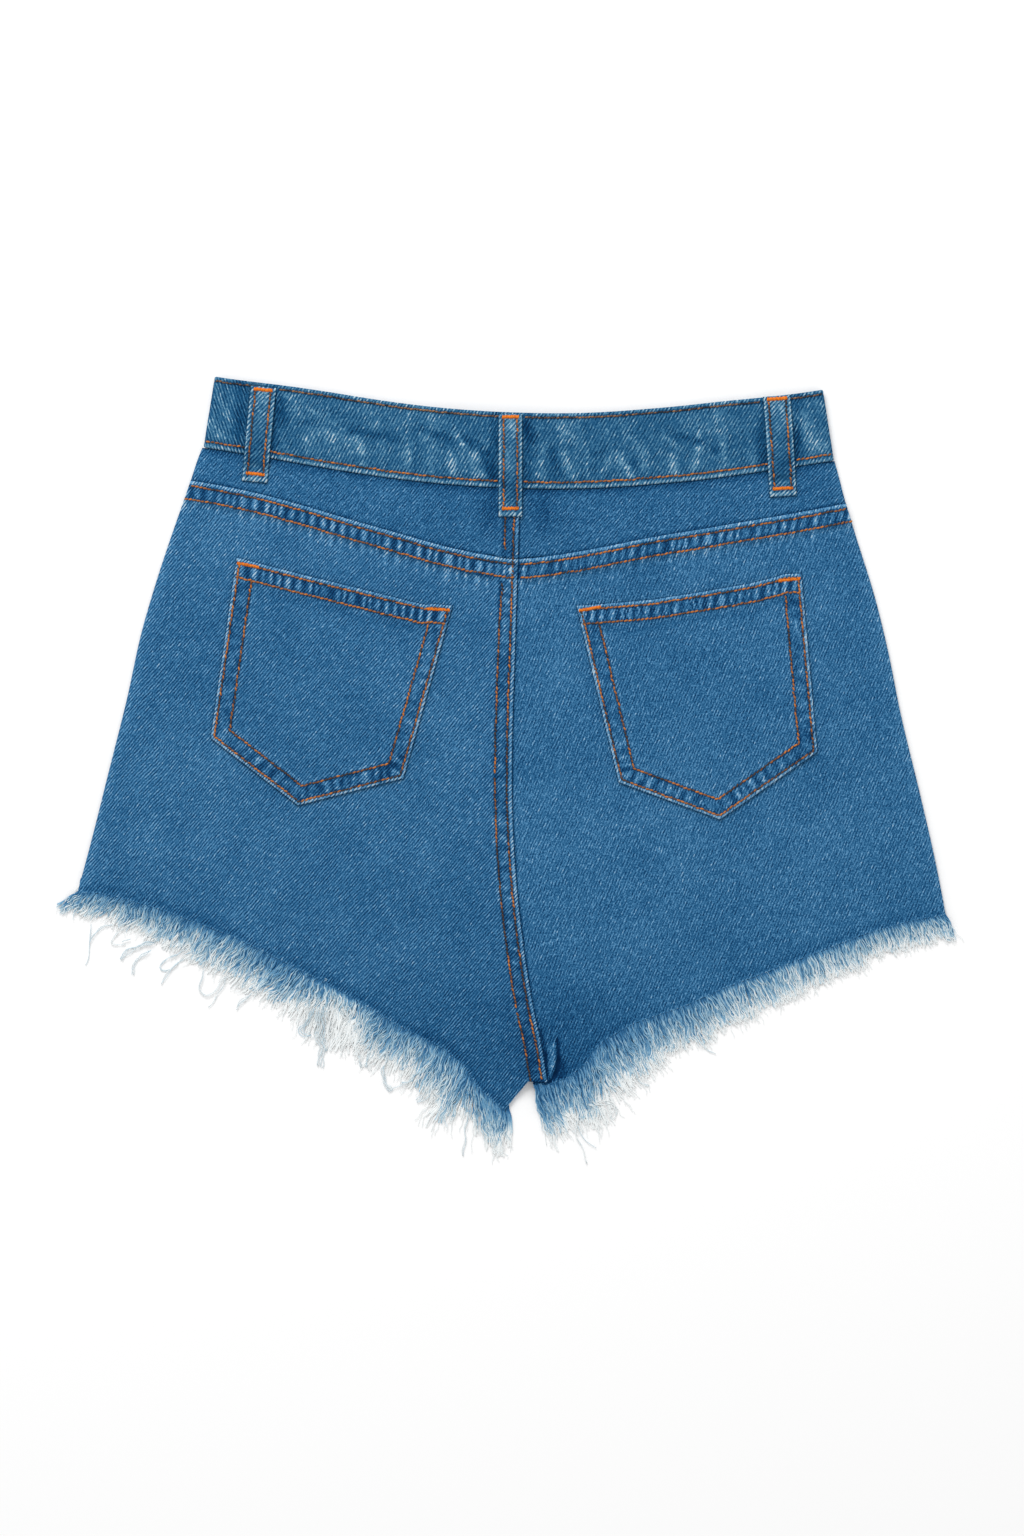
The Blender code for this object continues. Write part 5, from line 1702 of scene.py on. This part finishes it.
strays = {
    "left": strayRows(
        (1, 0, 0.9, 1.2, (-241, -94), (-242, -105), (-242, -114), (-244, -118)),
        (2, 0.6, 0.9, 1.2, (-242, -105), (-240, -100), (-235, -95), (-228, -94)),
        (2, 0.5, 0.92, 1.4, (-213, -90), (-216, -92), (-226, -99), (-230, -104), (-228, -106),
         (-221, -105)),
        (2, 0.5, 0.92, 1.0, (-218, -102), (-223, -104)),
        (2, 0.8, 0.85, 2.4, (-205, -90), (-206, -95), (-204, -99), (-204, -104)),
        (4, 1.2, 0.92, 1.4, (-204, -104), (-211, -105), (-218, -108), (-224, -114)),
        (3, 1.0, 0.92, 1.3, (-206, -108), (-213, -112), (-217, -117), (-217, -123)),
        (5, 0.9, 0.97, 2.8, (-190, -98), (-191, -101), (-195, -104), (-200, -107)),
        (8, 1.0, 0.99, 3.0, (-180, -94), (-178, -99), (-178, -105), (-181, -111), (-184, -113)),
        (2, 0.7, 0.92, 1.2, (-186, -108), (-197, -114), (-202, -118), (-198, -121), (-187, -113)),
        (2, 0.6, 0.9, 1.0, (-190, -115), (-197, -122), (-200, -128)),
        (2, 0.8, 0.92, 1.2, (-175, -119), (-177, -128), (-177, -132), (-173, -136), (-167, -129),
         (-160, -121)),
        (2, 0.7, 0.92, 1.2, (-162, -123), (-165, -132), (-172, -141)),
        (9, 0.9, 1.0, 3.1, (-134, -111), (-138, -115), (-142, -118), (-144, -124), (-146, -129)),
        (2, 0.6, 0.96, 2.0, (-143, -118), (-149, -122), (-155, -124)),
        (3, 1.0, 0.92, 1.2, (-147, -132), (-153, -136), (-156, -142)),
        # the torn patch
        (5, 1.8, 0.55, 3.2, (-101, -131), (-92, -132), (-85, -136), (-81, -142), (-78, -147), (-77, -154)),
        (4, 1.2, 0.75, 3.3, (-99, -134), (-92, -135), (-86, -140), (-82, -145)),
        (7, 2.0, 0.7, 3.4, (-105, -123), (-100, -124), (-98, -126), (-98, -128)),
        (4, 1.4, 0.8, 2.6, (-111, -140), (-113, -146), (-117, -150), (-119, -153), (-115, -157),
         (-112, -156)),
        (5, 1.6, 0.9, 2.8, (-108, -140), (-109, -152), (-106, -163), (-105, -170), (-107, -174)),
        (5, 1.4, 0.85, 3.0, (-105, -139), (-105, -153), (-104, -161), (-103, -165)),
        (4, 1.6, 0.93, 2.9, (-103, -141), (-101, -152), (-101, -158)),
        (5, 1.6, 0.93, 2.8, (-95, -141), (-92, -146), (-90, -154), (-88, -162)),
        (3, 1.2, 0.9, 2.2, (-83, -146), (-85, -153), (-85, -162), (-84, -169), (-82, -174)),
        (3, 0.8, 0.8, 2.4, (-79, -145), (-78, -153), (-76, -159), (-79, -167), (-80, -174)),
        (3, 1.0, 0.92, 1.6, (-74, -160), (-73, -170), (-77, -173), (-77, -176)),
        (3, 1.0, 0.93, 1.6, (-68, -163), (-68, -172), (-71, -176), (-69, -181), (-66, -188), (-64, -185)),
        (3, 1.0, 0.93, 1.4, (-70, -173), (-70, -180), (-66, -188), (-63, -186), (-58, -183)),
        (3, 1.0, 0.93, 1.4, (-59, -182), (-56, -183), (-53, -180), (-53, -177)),
        (2, 0.6, 0.9, 2.4, (-46, -158), (-45, -169), (-47, -178), (-45, -185)),
        (3, 1.0, 0.5, 2.0, (-49, -167), (-53, -171), (-59, -175)),
        (4, 1.2, 0.85, 2.4, (-32, -175), (-33, -181), (-38, -183), (-46, -191), (-50, -193)),
        (2, 0.8, 0.97, 2.0, (-42, -184), (-36, -191), (-32, -192)),
        (2, 1.0, 0.92, 0.8, (-20, -200), (-21, -207), (-22, -216), (-22, -224)),
        (3, 0.8, 0.97, 1.6, (-18, -189), (-19, -197), (-15, -207)),
        (5, 0.6, 1.0, 3.0, (-4, -195), (-2, -196)),
        (6, 0.8, 1.0, 2.8, (-4, -197), (0, -199))),
    "right": strayRows(
        (3, 1.0, 0.92, 1.4, (51, -189), (54, -193), (57, -191), (65, -192), (66, -197), (64, -201)),
        (3, 0.8, 0.92, 1.4, (49, -193), (55, -194), (59, -199)),
        (2, 0.6, 0.9, 1.2, (42, -193), (45, -200), (42, -209), (48, -220), (50, -227)),
        (1, 0, 0.85, 0.8, (43, -203), (47, -213), (55, -218)),
        (3, 1.0, 0.95, 2.0, (68, -171), (71, -180), (70, -186)),
        (2, 0.8, 0.92, 1.2, (39, -184), (43, -196), (51, -199), (58, -195)),
        (1, 0, 0.9, 0.8, (23, -200), (25, -211), (26, -217)),
        (2, 0.6, 0.92, 1.0, (74, -168), (79, -179), (85, -181)),
        (2, 0.6, 0.92, 1.0, (113, -149), (117, -159), (123, -162)),
        (1, 0, 0.9, 1.0, (243, -87), (255, -93), (260, -89))),
}
strayLook = {
    "rings": 20,
    "radius": 0.28,
    "tip": 0.45,
    "wave": 0.7,
    "waveReach": 2.2,
    "rootShade": 0.12,
    "seeds": {"left": 401, "right": 403},
}


def smoothed(points, times=3):
    # cuts the corners of a line until it is smooth
    points = np.array(points, float)
    for _ in range(times):
        near, far = points[:-1] * 0.75 + points[1:] * 0.25, points[:-1] * 0.25 + points[1:] * 0.75
        points = np.concatenate((points[:1], np.stack([near, far], 1).reshape(-1, 2), points[-1:]))
    return Line(points)


def strayBundle(stray, rand):
    share, single = np.linspace(0, 1, strayLook["rings"]), (stray.count, 1)
    line = smoothed(stray.points)
    apart = stray.width * rand.uniform(-1, 1, single) * (0.5 + 0.5 * share)
    waves = rand.uniform(0, 2 * math.pi, single) + share * line.length / strayLook["waveReach"]
    apart = apart + strayLook["wave"] * stray.width * np.sin(waves) * ease(share * 4)
    flat = line.at(share) + line.normal(share, 2) * apart[..., None]
    drop = ease(share * min(line.length / 8, 1.6))
    height = stray.root + (strayLook["tip"] - stray.root) * drop + rand.uniform(0, 0.4, single)
    radius = strayLook["radius"] * (1 - 0.35 * share) * rand.uniform(0.8, 1.2, single)
    radius = radius * (0.3 + 0.7 * ease(share * 5))
    tone = stray.tone - strayLook["rootShade"] * (1 - ease(share * 4)) + rand.normal(0, 0.05, single)
    return np.dstack((flat, height)), radius, np.clip(tone, 0, 1)


def makeStrays(side):
    rand = np.random.default_rng(strayLook["seeds"][side])
    made = tubes(f"stray_threads_{side}", [strayBundle(stray, rand) for stray in strays[side]], looseYarn, 4)
    return made


strayPieces = {side: makeStrays(side) for side in sideX}
print("frayed hems made")


# button: a stamped disc with a rolled rim, seen only from below

disc = {
    "profile": (  # radius and height of each ring, from the middle of the face to that of the back
        (0.0, 0.35), (2.0, 0.3), (2.4, 0.6), (4.6, 0.65), (5.0, 0.3), (6.4, 0.25), (7.0, 0.0),
        (7.9, 0.0), (8.4, 0.35), (8.5, 0.9), (8.3, 1.5), (7.4, 1.8), (0.0, 1.8)),
    "sides": 48,
    "roughness": 0.42,
    "stops": ((0.35, (0.16, 0.09, 0.04)), (0.6, (0.52, 0.36, 0.17))),
    "grime": 380.0,
    "grain": 900.0,
}


def brassMaterial():
    made, tree, shader = newMaterial("agedBrass", disc["roughness"])
    shader.inputs["Metallic"].default_value = 1.0
    where = objectPlace(tree)
    grime = noise(tree, where, disc["grime"], 4.0)
    paint(tree, shader, grime, disc["stops"])
    join(tree, rescaled(tree, grime, 0.2, 0.9), shader.inputs["Roughness"])
    relief(tree, shader, noise(tree, where, disc["grain"], 2.0), 0.0001, 0.3)
    return made


def makeButton():
    middle = (button["x"], float(bandY(button["x"])) + waistband["height"] / 2 - 0.3)
    count, rings = disc["sides"], disc["profile"][1:-1]
    turns = np.linspace(0, 2 * math.pi, count + 1)[:-1]
    points = [(middle[0] + r * math.cos(turn), middle[1] + r * math.sin(turn), z)
              for r, z in rings for turn in turns]
    points += [(*middle, disc["profile"][0][1]), (*middle, disc["profile"][-1][1])]
    index = np.arange(count * len(rings)).reshape(-1, count)
    after = np.roll(index, -1, axis=1)
    quads = np.stack([index[:-1], index[1:], after[1:], after[:-1]], -1).reshape(-1, 4)
    low, high = len(points) - 2, len(points) - 1
    caps = [(low, a, b) for a, b in zip(index[0], after[0])]
    caps += [(high, b, a) for a, b in zip(index[-1], after[-1])]
    made = addMesh("button_disc", points, quads, caps, {}, brassMaterial())
    return dress(made, "button")


makeButton()
print("triangles in all:", sum(totals.values()), totals)


for piece, loop in zip(loopPieces, backLoops):
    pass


# floor, light and camera

studio = {
    "floorSize": 3.0,
    "floorZ": -0.0003,
    "floorTone": 0.89,
    "skyStrength": 0.80,
    "lampEnergy": 46,
    "lampSize": 1.3,
    "lampPlace": (-0.6, 1.9, 1.7),
    "lens": 85,
    "cameraPlace": (0.0014, 0.0018, 2.108),
    "cameraTurn": 1.2,
}


def placed(name, data, location=(0, 0, 0)):
    made = bpy.data.objects.new(name, data)
    made.location = location
    bpy.context.scene.collection.objects.link(made)
    return made


def makeStage():
    size, tone = studio["floorSize"], studio["floorTone"]
    mesh = bpy.data.meshes.new("floor")
    corners = [(-size, -size, 0), (size, -size, 0), (size, size, 0), (-size, size, 0)]
    mesh.from_pydata(corners, [], [(0, 1, 2, 3)])
    made, _, shader = newMaterial("paleFloor", 0.9)
    shader.inputs["Base Color"].default_value = (tone, tone, tone, 1)
    mesh.materials.append(made)
    placed("floor", mesh, (0, 0, studio["floorZ"]))
    world = bpy.context.scene.world or bpy.data.worlds.new("studio")
    bpy.context.scene.world = world
    world.use_nodes = True
    sky = world.node_tree.nodes["Background"]
    sky.inputs["Color"].default_value = (1.0, 1.0, 1.0, 1)
    sky.inputs["Strength"].default_value = studio["skyStrength"]
    lamp = bpy.data.lights.new("key", "AREA")
    lamp.energy = studio["lampEnergy"]
    lamp.size = studio["lampSize"]
    key = placed("key", lamp, studio["lampPlace"])
    key.rotation_mode = "QUATERNION"
    key.rotation_quaternion = (-key.location.normalized()).to_track_quat("-Z", "Y")


def makeCamera():
    data = bpy.data.cameras.new("camera")
    data.lens = studio["lens"]
    data.sensor_width = 36
    camera = placed("camera", data, studio["cameraPlace"])
    camera.rotation_euler = (0, 0, math.radians(studio["cameraTurn"]))
    bpy.context.scene.camera = camera


makeStage()
makeCamera()
bpy.context.scene.view_settings.view_transform = "Standard"
print("scene done")
